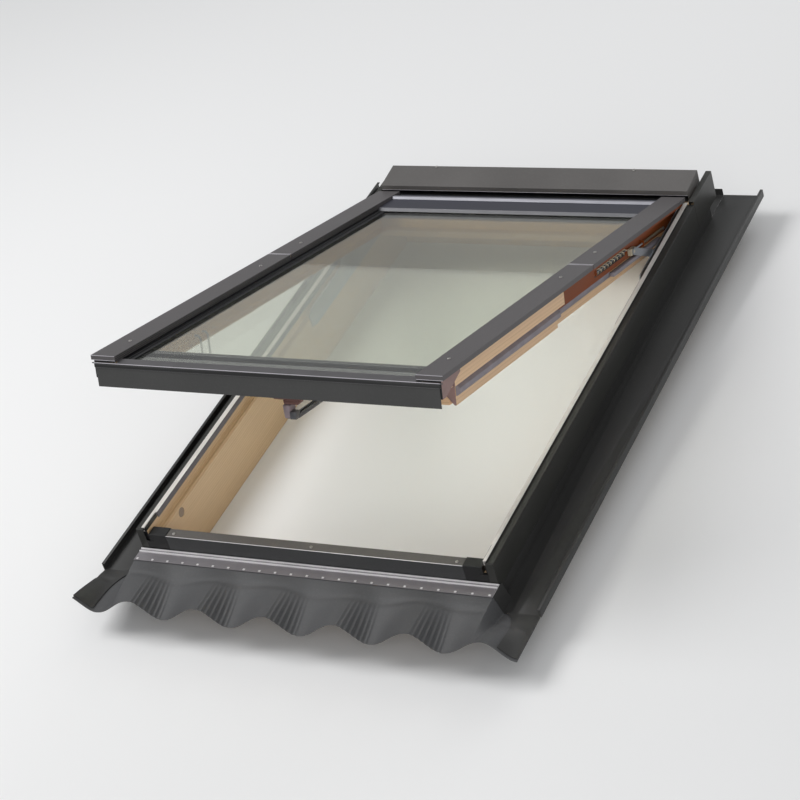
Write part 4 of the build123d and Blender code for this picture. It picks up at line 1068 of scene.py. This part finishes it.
@dataclass
class HingeGear:
    """Arms, plates, links, shoes, rods and springs of both sides."""

    solids: Solids
    bench: Bench
    arris: float = 0.35 * MM
    rod_arris: float = 0.2 * MM
    main_spring: Spring = Spring(SPRING_WIRE, 348.0, -32.0, 953.2, 1064.9, 3.0, 0.75, 20)
    stay_spring: Spring = Spring(STAY_WIRE, 348.9, -21.0, 706.0, 860.0, 4.0, 1.1, 9)
    shut_share: float = 0.866
    wire_sides: int = 8
    turn_steps: int = 18
    stay_channel: Box = ((343.25, 698.0, -33.0), (343.7, 868.0, -9.0))
    stay_brackets: tuple[Box, Box] = (((343.3, 701.0, -27.0), (351.6, 704.5, -15.0)),
                                      ((343.3, 861.5, -27.0), (351.6, 863.5, -15.0)))
    stay_rod: Box = ((347.8, 704.0, -22.1), (350.0, 862.0, -19.9))
    names: dict[str, Finish] = field(default_factory=lambda: {
        "arm": ARM_LACQUER, "pivot_plate": ARM_LACQUER, "hinge_plate": ZINC, "link": ZINC,
        "shoe": SHOE_PLASTIC,
    })

    def build(self) -> None:
        """Dress both sides and coil their springs."""
        spring = self.main_spring
        for side, sign in SIDES.items():
            for name, finish in self.names.items():
                self.solids.eased(f"{name}_{side}", finish, self.arris)
            coil = self.coil(f"spring_coil_{side}", spring, sign, [f"spring_{side}"])
            anchor = self.bench.placement(True) @ (Vector((sign * spring.x, spring.start, spring.z)) * MM)
            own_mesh(coil)
            self.coil(f"stay_coil_{side}", self.stay_spring, sign)
        self.solids.eased("pull_rods", ZINC, self.rod_arris)
        for name, finish, boxes, ease in (
            ("stay_channels", BLACK_PLASTIC, [self.stay_channel], 0.2 * MM),
            ("stay_brackets", ARM_LACQUER, self.stay_brackets, 0.4 * MM),
            ("stay_rods", ZINC, [self.stay_rod], 0.6 * MM),
        ):
            self.bench.slabs(name, finish, "arms", boxes, turned=True, both=True, ease=ease)

    def coil(self, name: str, spring: Spring, sign: int, nodes: Iterable[str] = ()) -> bpy.types.Object:
        """A coiled wire along an arm.

        Args:
            name: the piece's name.
            spring: its sizes and finish.
            sign: 1 for the right side, -1 for the left.
            nodes: the plain solids that it stands for.

        Returns:
            The coil.
        """
        coil = begin(bpy.ops.mesh.primitive_circle_add, vertices=self.wire_sides, radius=spring.wire * MM,
                     location=(spring.radius * MM, 0, 0), rotation=(math.pi / 2, 0, 0))
        settle(coil)
        steps = self.turn_steps * spring.turns
        apply_modifier(coil, "SCREW", angle=2 * math.pi * spring.turns, axis="Z",
                       screw_offset=(spring.end - spring.start - 2 * spring.wire) * MM, steps=steps,
                       render_steps=steps, use_smooth_shade=True)
        self.close_ends(coil)
        middle = Vector((sign * spring.x, spring.start + spring.wire, spring.z)) * MM
        foot = self.bench.placement(True) @ middle
        turn = Vector((0, 0, 1)).rotation_difference(UP_SLOPE)
        coil.matrix_world = Matrix.Translation(foot) @ turn.to_matrix().to_4x4()
        return finish_piece(coil, name, spring.finish, "arms", nodes)

    @staticmethod
    def close_ends(coil: bpy.types.Object) -> None:
        """Fill the two open ends of a coiled wire and point its faces outwards.

        Args:
            coil: the wire.
        """
        select_only(coil)
        bpy.ops.object.mode_set(mode="EDIT")
        bpy.ops.mesh.select_mode(type="EDGE")
        bpy.ops.mesh.select_all(action="DESELECT")
        bpy.ops.mesh.select_non_manifold()
        bpy.ops.mesh.edge_face_add()
        bpy.ops.mesh.select_all(action="DESELECT")
        bpy.ops.mesh.select_non_manifold()
        if coil.data.total_edge_sel:
            bpy.ops.mesh.fill()
        bpy.ops.mesh.select_all(action="SELECT")
        bpy.ops.mesh.normals_make_consistent(inside=False)
        bpy.ops.object.mode_set(mode="OBJECT")


@dataclass
class Sash:
    """Pine sash with its covers, clamp, caps, seals and fittings."""

    solids: Solids
    bench: Bench
    arris: float = 1.0 * MM
    fold: float = 0.5 * MM
    clamp_arris: float = 0.4 * MM
    cap_arris: float = 0.7 * MM
    steel_arris: float = 0.3 * MM
    wire_arris: float = 0.1 * MM
    cut_facing: float = 0.6
    end_facing: float = 0.7
    foot_ends: float = 100.0
    head_shade_start: float = 1062.0
    ridge_z: float = 10.0
    lip_y: float = 1040.0
    split: tuple[float, float] = (641.0, 644.0)
    cover_x: tuple[float, float] = (319.0, 372.2)
    cover_y: tuple[float, float] = (-29.0, 1030.0)
    seam_width: float = 1.7
    seam_z: tuple[float, float] = (14.8, 15.25)
    step_x: tuple[float, float] = (317.7, 318.6)
    step_rise: float = 1.0
    step_heights: tuple[float, ...] = (12.6, 9.2, 5.8)
    end_y: tuple[float, float] = (-30.06, -29.6)
    end_rise: float = 0.9
    end_heights: tuple[float, ...] = (5.4, 14.05)
    clamp_shade_strip: Box = ((-366.0, -31.9, -7.9), (366.0, -28.7, -0.75))
    clamp_edge: Box = ((-366.0, -31.95, 0.2), (366.0, -31.2, 1.35))
    fascia_highlight: Box = ((-363.6, -30.3, -9.3), (363.6, -28.8, -8.1))
    stile_seal: Box = ((340.05, 514.0, -56.0), (340.8, 789.5, -44.0))
    upper_gasket: Box = ((340.1, 790.0, -56.0), (350.8, 1050.0, -46.0))

    def build(self) -> None:
        """Round the sash's edges, dress it and add its fine trim."""
        for side in SIDES:
            stile = self.solids.eased(f"stile_{side}", STILE_PINE, self.arris, FULL_ROUND)
            tint(stile, BROWN_PLASTIC, lambda face: face.normal.dot(UP_SLOPE) < -self.cut_facing
                 and self.bench.shut(face.center).y < self.foot_ends)
            for cover in (f"sash_cover_{side}", f"arm_cover_{side}"):
                self.solids.eased(cover, SASH_LACQUER, self.fold, FULL_ROUND)
        self.solids.eased("sash_foot", RAIL_PINE, self.arris, FULL_ROUND)
        head = self.solids.eased("sash_head", RAIL_PINE, self.arris, FULL_ROUND)
        # Painted shade: the head's upper end and its back faces are black, as in the dark recess under the
        # hood.
        tint(head, BEAD_AND_SHADE, lambda face: face.normal.dot(UP_SLOPE) > self.end_facing
             or face.normal.dot(SASH_NORMAL) > self.end_facing
             and self.bench.shut(face.center).y > self.head_shade_start)
        self.solids.eased("front_cover", FASCIA_LACQUER, self.fold, FULL_ROUND)
        self.solids.eased("glazing_clamp", CLAMP_METAL, self.clamp_arris, FULL_ROUND)
        self.profile()
        caps = self.solids.eased("corner_caps", BROWN_PLASTIC, self.cap_arris, FULL_ROUND)
        tint(caps, BLACK_PLASTIC, lambda face: face.normal.dot(UP_SLOPE) < -self.end_facing)
        self.solids.eased("side_gaskets", GASKET, self.clamp_arris)
        self.solids.eased("pivot_sliders", ZINC, self.steel_arris)
        self.solids.eased("wire_bail", ZINC, self.wire_arris, GROUND)
        self.cover_trim()
        self.foot_trim()

    def profile(self) -> None:
        """The head profile: dark sheet with its ridge lighter as a painted highlight, and a bright lip on
        the glass.
        """
        piece = self.solids.eased("top_profile", NAVY_METAL, self.clamp_arris, FULL_ROUND)
        tint(piece, RIDGE_HIGHLIGHT_METAL, lambda face: self.bench.shut(face.center).z > self.ridge_z)
        tint(piece, LIP_METAL, lambda face: self.bench.shut(face.center).y < self.lip_y)

    def cover_trim(self) -> None:
        """Cut edges beside the split and at the foot, and the steps on the covers' glass side."""
        low, high = self.split
        foot, head = self.cover_y
        left, right = self.cover_x
        inner, outer = self.step_x
        under, over = self.seam_z
        for name, body, seam, run in (
            ("sash_cover", "sash", (low - self.seam_width, low), (foot, low)),
            ("arm_cover", "arms", (high, high + self.seam_width), (high, head)),
        ):
            self.bench.slabs(f"{name}_seams", RIDGE_METAL, body, [
                ((left, seam[0], under), (right, seam[1], over)),
            ], turned=True, both=True, ease=0.1 * MM)
            self.bench.slabs(f"{name}_steps", FRAME_LACQUER, body, [
                ((inner, run[0], z), (outer, run[1], z + self.step_rise)) for z in self.step_heights
            ], turned=True, both=True, ease=0.3 * MM)
        self.bench.slabs("cover_end_edges", RIDGE_METAL, "sash", [
            ((left, self.end_y[0], z), (right, self.end_y[1], z + self.end_rise)) for z in self.end_heights
        ], turned=True, both=True, ease=0.1 * MM)

    def foot_trim(self) -> None:
        """Black strip under the clamp's lip as painted shade in the gap, bright edges at the foot with the
        fascia's as a painted highlight, and the stiles' upper gaskets.
        """
        for name, finish, box, both, ease in (
            # Painted shade: a black strip in the gap under the clamp's lip.
            ("clamp_shade_strip", BLACK_PLASTIC, self.clamp_shade_strip, False, 0.2 * MM),
            # Painted highlight: a lighter strip along the fascia's top edge.
            ("fascia_highlight", CLAMP_METAL, self.fascia_highlight, False, 0.2 * MM),
            ("clamp_edge", RIDGE_METAL, self.clamp_edge, False, 0.1 * MM),
            ("stile_seals", GASKET, self.stile_seal, True, 0.2 * MM),
            ("upper_gaskets", GASKET, self.upper_gasket, True, 2.0 * MM),
        ):
            self.bench.slabs(name, finish, "sash", [box], turned=True, both=both, ease=ease)


@dataclass
class Glazing:
    """Two panes, their spacer, the beads and the black border of the glass."""

    solids: Solids
    bench: Bench
    pane_arris: float = 0.4 * MM
    spacer_arris: float = 0.3 * MM
    bead_arris: float = 0.5 * MM
    border_ease: float = 0.02 * MM
    lips: tuple[Box, ...] = (
        ((299.0, -10.6, -1.97), (318.2, 1033.0, -1.0)),
        ((309.0, -10.6, -1.5), (318.2, 1033.0, 0.6)),
        ((299.0, -10.6, -1.5), (301.0, 1033.0, -0.4)),
    )
    borders: tuple[Box, ...] = (
        ((-318.0, -23.0, -6.27), (318.0, 25.8, -6.02)),
        ((-318.0, 50.2, -6.27), (318.0, 64.0, -6.02)),
    )

    def build(self) -> None:
        """Grind the panes' arrises and dress the glazing."""
        for name in ("outer_pane", "inner_pane"):
            self.solids.eased(name, CLEAR_GLASS, self.pane_arris, GROUND)
        self.solids.eased("pane_spacer", BLACK_PLASTIC, self.spacer_arris)
        self.solids.eased("glazing_bead", BEAD_AND_SHADE, self.bead_arris)
        self.bench.slabs("glazing_lips", BEAD_AND_SHADE, "sash", self.lips, turned=True, both=True,
                         ease=self.spacer_arris)
        self.bench.slabs("glass_border", BEAD_AND_SHADE, "sash", self.borders, turned=True, ease=self.border_ease)


@dataclass
class FootHandle:
    """Lever handle, its base and the lock in the sash foot."""

    solids: Solids
    bench: Bench
    base_arris: float = 0.8 * MM
    lock_arris: float = 0.4 * MM
    flange: Box = ((-42.0, 62.4, -86.6), (20.0, 87.6, -79.9))
    collar: Box = ((-20.0, 63.0, -95.6), (13.0, 87.0, -86.0))
    neck: Box = ((-22.0, 62.0, -124.2), (-6.0, 87.0, -95.9))
    grip: tuple[Box, ...] = (
        ((-8.0, 62.4, -124.2), (5.5, 78.0, -109.0)),
        ((-7.5, 72.0, -124.2), (6.5, 163.5, -119.6)),
        ((-7.5, 72.0, -119.8), (-4.4, 163.5, -116.4)),
        ((3.4, 72.0, -119.8), (6.5, 163.5, -116.4)),
        ((-7.5, 154.0, -119.8), (6.5, 163.5, -116.4)),
    )

    def build(self) -> None:
        """Round the handle's edges, shape its neck and grip, and dress the lock."""
        self.solids.eased("handle_base", HANDLE_PLASTIC, self.base_arris, FULL_ROUND)
        for name, finish, body, boxes, ease, foot_share, nodes in (
            ("handle_flange", HANDLE_PLASTIC, "sash", [self.flange], 2.4 * MM, 0.93, ()),
            ("handle_collar", HANDLE_PLASTIC, "sash", [self.collar], 2.0 * MM, 0.93, ()),
            ("handle_neck", NECK_PLASTIC, "lever", [self.neck], 3.0 * MM, 0.86, ["handle_lever"]),
            ("handle_grip", LEVER_LACQUER, "lever", self.grip, 1.0 * MM, 1.0, ()),
        ):
            self.bench.slabs(name, finish, body, boxes, turned=True, ease=ease, foot_share=foot_share,
                             nodes=nodes)
        self.solids.eased("lock_case", CASE_METAL, self.lock_arris)
        self.solids.eased("lock_bolt", ZINC, self.lock_arris)


@dataclass
class CoverScrews:
    """Pan-head screws with a cross recess, one for each screw head of the covers."""

    solids: Solids
    sides: int = 28
    radius: float = 3.5 * MM
    height: float = 1.8 * MM
    crown: float = 1.1 * MM
    crown_steps: int = 4
    top_facing: float = 0.9
    recess: float = 0.7 * MM
    slot_width: float = 0.75 * MM
    slot_reach: float = 1.1
    spin: float = 0.6
    rows: dict[str, Vector] = field(default_factory=lambda: {
        "frame_screws": Vector((0, 0, 1)), "arm_screws": SASH_NORMAL, "sash_screws": SASH_NORMAL,
    })

    def model(self) -> bpy.types.Object:
        """One screw head, standing on the origin.

        Returns:
            The head.
        """
        head = begin(bpy.ops.mesh.primitive_cylinder_add, vertices=self.sides, radius=self.radius,
                     depth=self.height, location=(0, 0, self.height / 2))
        settle(head)
        bpy.ops.object.mode_set(mode="EDIT")
        bpy.ops.mesh.select_mode(type="FACE")
        bpy.ops.mesh.select_all(action="DESELECT")
        bpy.ops.object.mode_set(mode="OBJECT")
        for face in head.data.polygons:
            face.select = face.normal.z > self.top_facing
        bpy.ops.object.mode_set(mode="EDIT")
        bpy.ops.mesh.bevel(offset=self.crown, segments=self.crown_steps, affect="EDGES")
        bpy.ops.object.mode_set(mode="OBJECT")
        cutters = []
        for turn in (0.0, math.pi / 2):
            cutter = begin(bpy.ops.mesh.primitive_cube_add, size=1.0, location=(0, 0, self.height),
                           rotation=(0, 0, turn))
            cutter.scale = (self.radius * self.slot_reach, self.slot_width, 2 * self.recess)
            settle(cutter)
            cutters.append(cutter)
        for cutter in cutters:
            apply_modifier(head, "BOOLEAN", operation="DIFFERENCE", object=cutter, solver="EXACT")
            bpy.data.objects.remove(cutter)
        return head

    def build(self) -> None:
        """Set a copy on each foot and join each row into one piece."""
        head = self.model()
        for node, axis in self.rows.items():
            copies = []
            turn = Vector((0, 0, 1)).rotation_difference(axis).to_matrix().to_4x4()
            for index, foot in enumerate(self.solids.islands(node, axis)):
                copy = bpy.data.objects.new(f"{node}_{index}", head.data.copy())
                bpy.context.scene.collection.objects.link(copy)
                spin = Matrix.Rotation(self.spin * index, 4, "Z")
                copy.matrix_world = Matrix.Translation(foot) @ turn @ spin
                copies.append(copy)
            select_only(*copies)
            bpy.ops.object.transform_apply(location=True, rotation=True, scale=True)
            bpy.ops.object.join()
            finish_piece(bpy.context.object, f"{node}_crossed", SCREW_METAL, self.solids.body(node), [node])
        bpy.data.objects.remove(head)


@dataclass(frozen=True)
class Lamp:
    """A square soft lamp: its name, its place, its side in metres and its power in watts."""

    name: str
    place: Point
    size: float
    power: float


@dataclass
class Studio:
    """Pale floor, soft lamps and a camera where the photograph was taken."""

    eye: Vector = field(default_factory=lambda: Vector((2.2909, -3.5235, 2.9131)))
    aim: Vector = field(default_factory=lambda: Vector((0.1535, -0.4023, 0.2958)))
    roll: float = math.radians(-17.54)
    lens: float = 110.0
    sensor: float = 36.0
    view_depth: float = 100.0
    floor_size: float = 40.0
    floor_gap: float = 0.5 * MM
    floor_white: Colour = (0.86, 0.86, 0.86)
    backdrop: float = 0.93
    sky: float = 0.36
    ambient: float = 0.42
    daylight: tuple[float, float, float, float] = (0.97, 0.985, 1.0, 1.0)
    lamp_aim: Point = (0.0, 0.0, 0.1)
    lamps: tuple[Lamp, ...] = (
        Lamp("key_lamp", (-2.3, -0.9, 3.7), 2.2, 105.0),
        Lamp("fill_lamp", (2.2, -3.6, 2.2), 2.6, 38.0),
        Lamp("back_lamp", (0.8, 3.4, 2.4), 2.4, 26.0),
    )

    def build(self) -> None:
        """Set out the floor, the world, the lamps and the camera."""
        self.floor()
        self.world()
        for lamp in self.lamps:
            self.hang(lamp)
        self.camera()

    def floor(self) -> None:
        """A plain floor under the window's room side."""
        low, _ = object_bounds()
        floor = begin(bpy.ops.mesh.primitive_plane_add, size=self.floor_size,
                      location=(0, 0, low[2] - self.floor_gap))
        floor.name = "studio_floor"
        shader = Shader("studio_floor")
        tone = shader.noise(shader.place(), 0.6, 2.0)
        shader.set(Base_Color=shader.tones(tone, self.floor_white, 0.99, 1.0), Roughness=0.9,
                   Specular_IOR_Level=0.1)
        floor.data.materials.append(shader.material)
        floor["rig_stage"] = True

    def world(self) -> None:
        """A white backdrop to the eye and through glass, a greyer one to gloss, over a soft light."""
        world = bpy.data.worlds.new("studio")
        bpy.context.scene.world = world
        world.use_nodes = True
        tree = world.node_tree
        back = tree.nodes["Background"]
        path = tree.nodes.new("ShaderNodeLightPath")
        below = None
        for ray, seen in (("Is Glossy Ray", self.sky), ("Is Transmission Ray", self.backdrop),
                          ("Is Camera Ray", self.backdrop)):
            pick = tree.nodes.new("ShaderNodeMix")
            tree.links.new(path.outputs[ray], pick.inputs["Factor"])
            if below is None:
                pick.inputs["A"].default_value = self.ambient
            else:
                tree.links.new(below, pick.inputs["A"])
            pick.inputs["B"].default_value = seen
            below = pick.outputs["Result"]
        tree.links.new(below, back.inputs["Strength"])
        back.inputs["Color"].default_value = self.daylight

    def hang(self, lamp: Lamp) -> None:
        """Hang a lamp that faces the window.

        Args:
            lamp: its name, place, size and power.
        """
        light = bpy.data.lights.new(lamp.name, "AREA")
        light.shape = "SQUARE"
        light.size = lamp.size
        light.energy = lamp.power
        hung = bpy.data.objects.new(lamp.name, light)
        bpy.context.scene.collection.objects.link(hung)
        hung.location = lamp.place
        hung.rotation_mode = "QUATERNION"
        hung.rotation_quaternion = (Vector(self.lamp_aim) - Vector(lamp.place)).to_track_quat("-Z", "Y")

    def camera(self) -> None:
        """Stand the camera at the photograph's place, with its tilt against the roof."""
        data = bpy.data.cameras.new("camera")
        data.lens = self.lens
        data.sensor_width = self.sensor
        data.clip_end = self.view_depth
        camera = bpy.data.objects.new("camera", data)
        bpy.context.scene.collection.objects.link(camera)
        camera.location = self.eye
        camera.rotation_mode = "QUATERNION"
        turn = (self.aim - self.eye).to_track_quat("-Z", "Y")
        camera.rotation_quaternion = turn @ Quaternion((0, 0, 1), self.roll)
        bpy.context.scene.camera = camera


def main() -> None:
    """Load the frame, dress the window and light it."""
    logging.basicConfig(level=logging.INFO, format="%(message)s")
    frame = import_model()
    bpy.context.scene.view_settings.view_transform = "Standard"
    solids = Solids(frame)
    hinge = next(Vector(joint["pos_m"]) for joint in frame["joints"] if joint["name"] == "top_hinge")
    bench = Bench(hinge)
    Studio().build()
    TimberFrame(solids).build()
    FrameCovers(solids, bench).build()
    TileApron().build()
    HingeGear(solids, bench).build()
    Sash(solids, bench).build()
    Glazing(solids, bench).build()
    FootHandle(solids, bench).build()
    CoverScrews(solids).build()


if __name__ == "__main__":
    main()
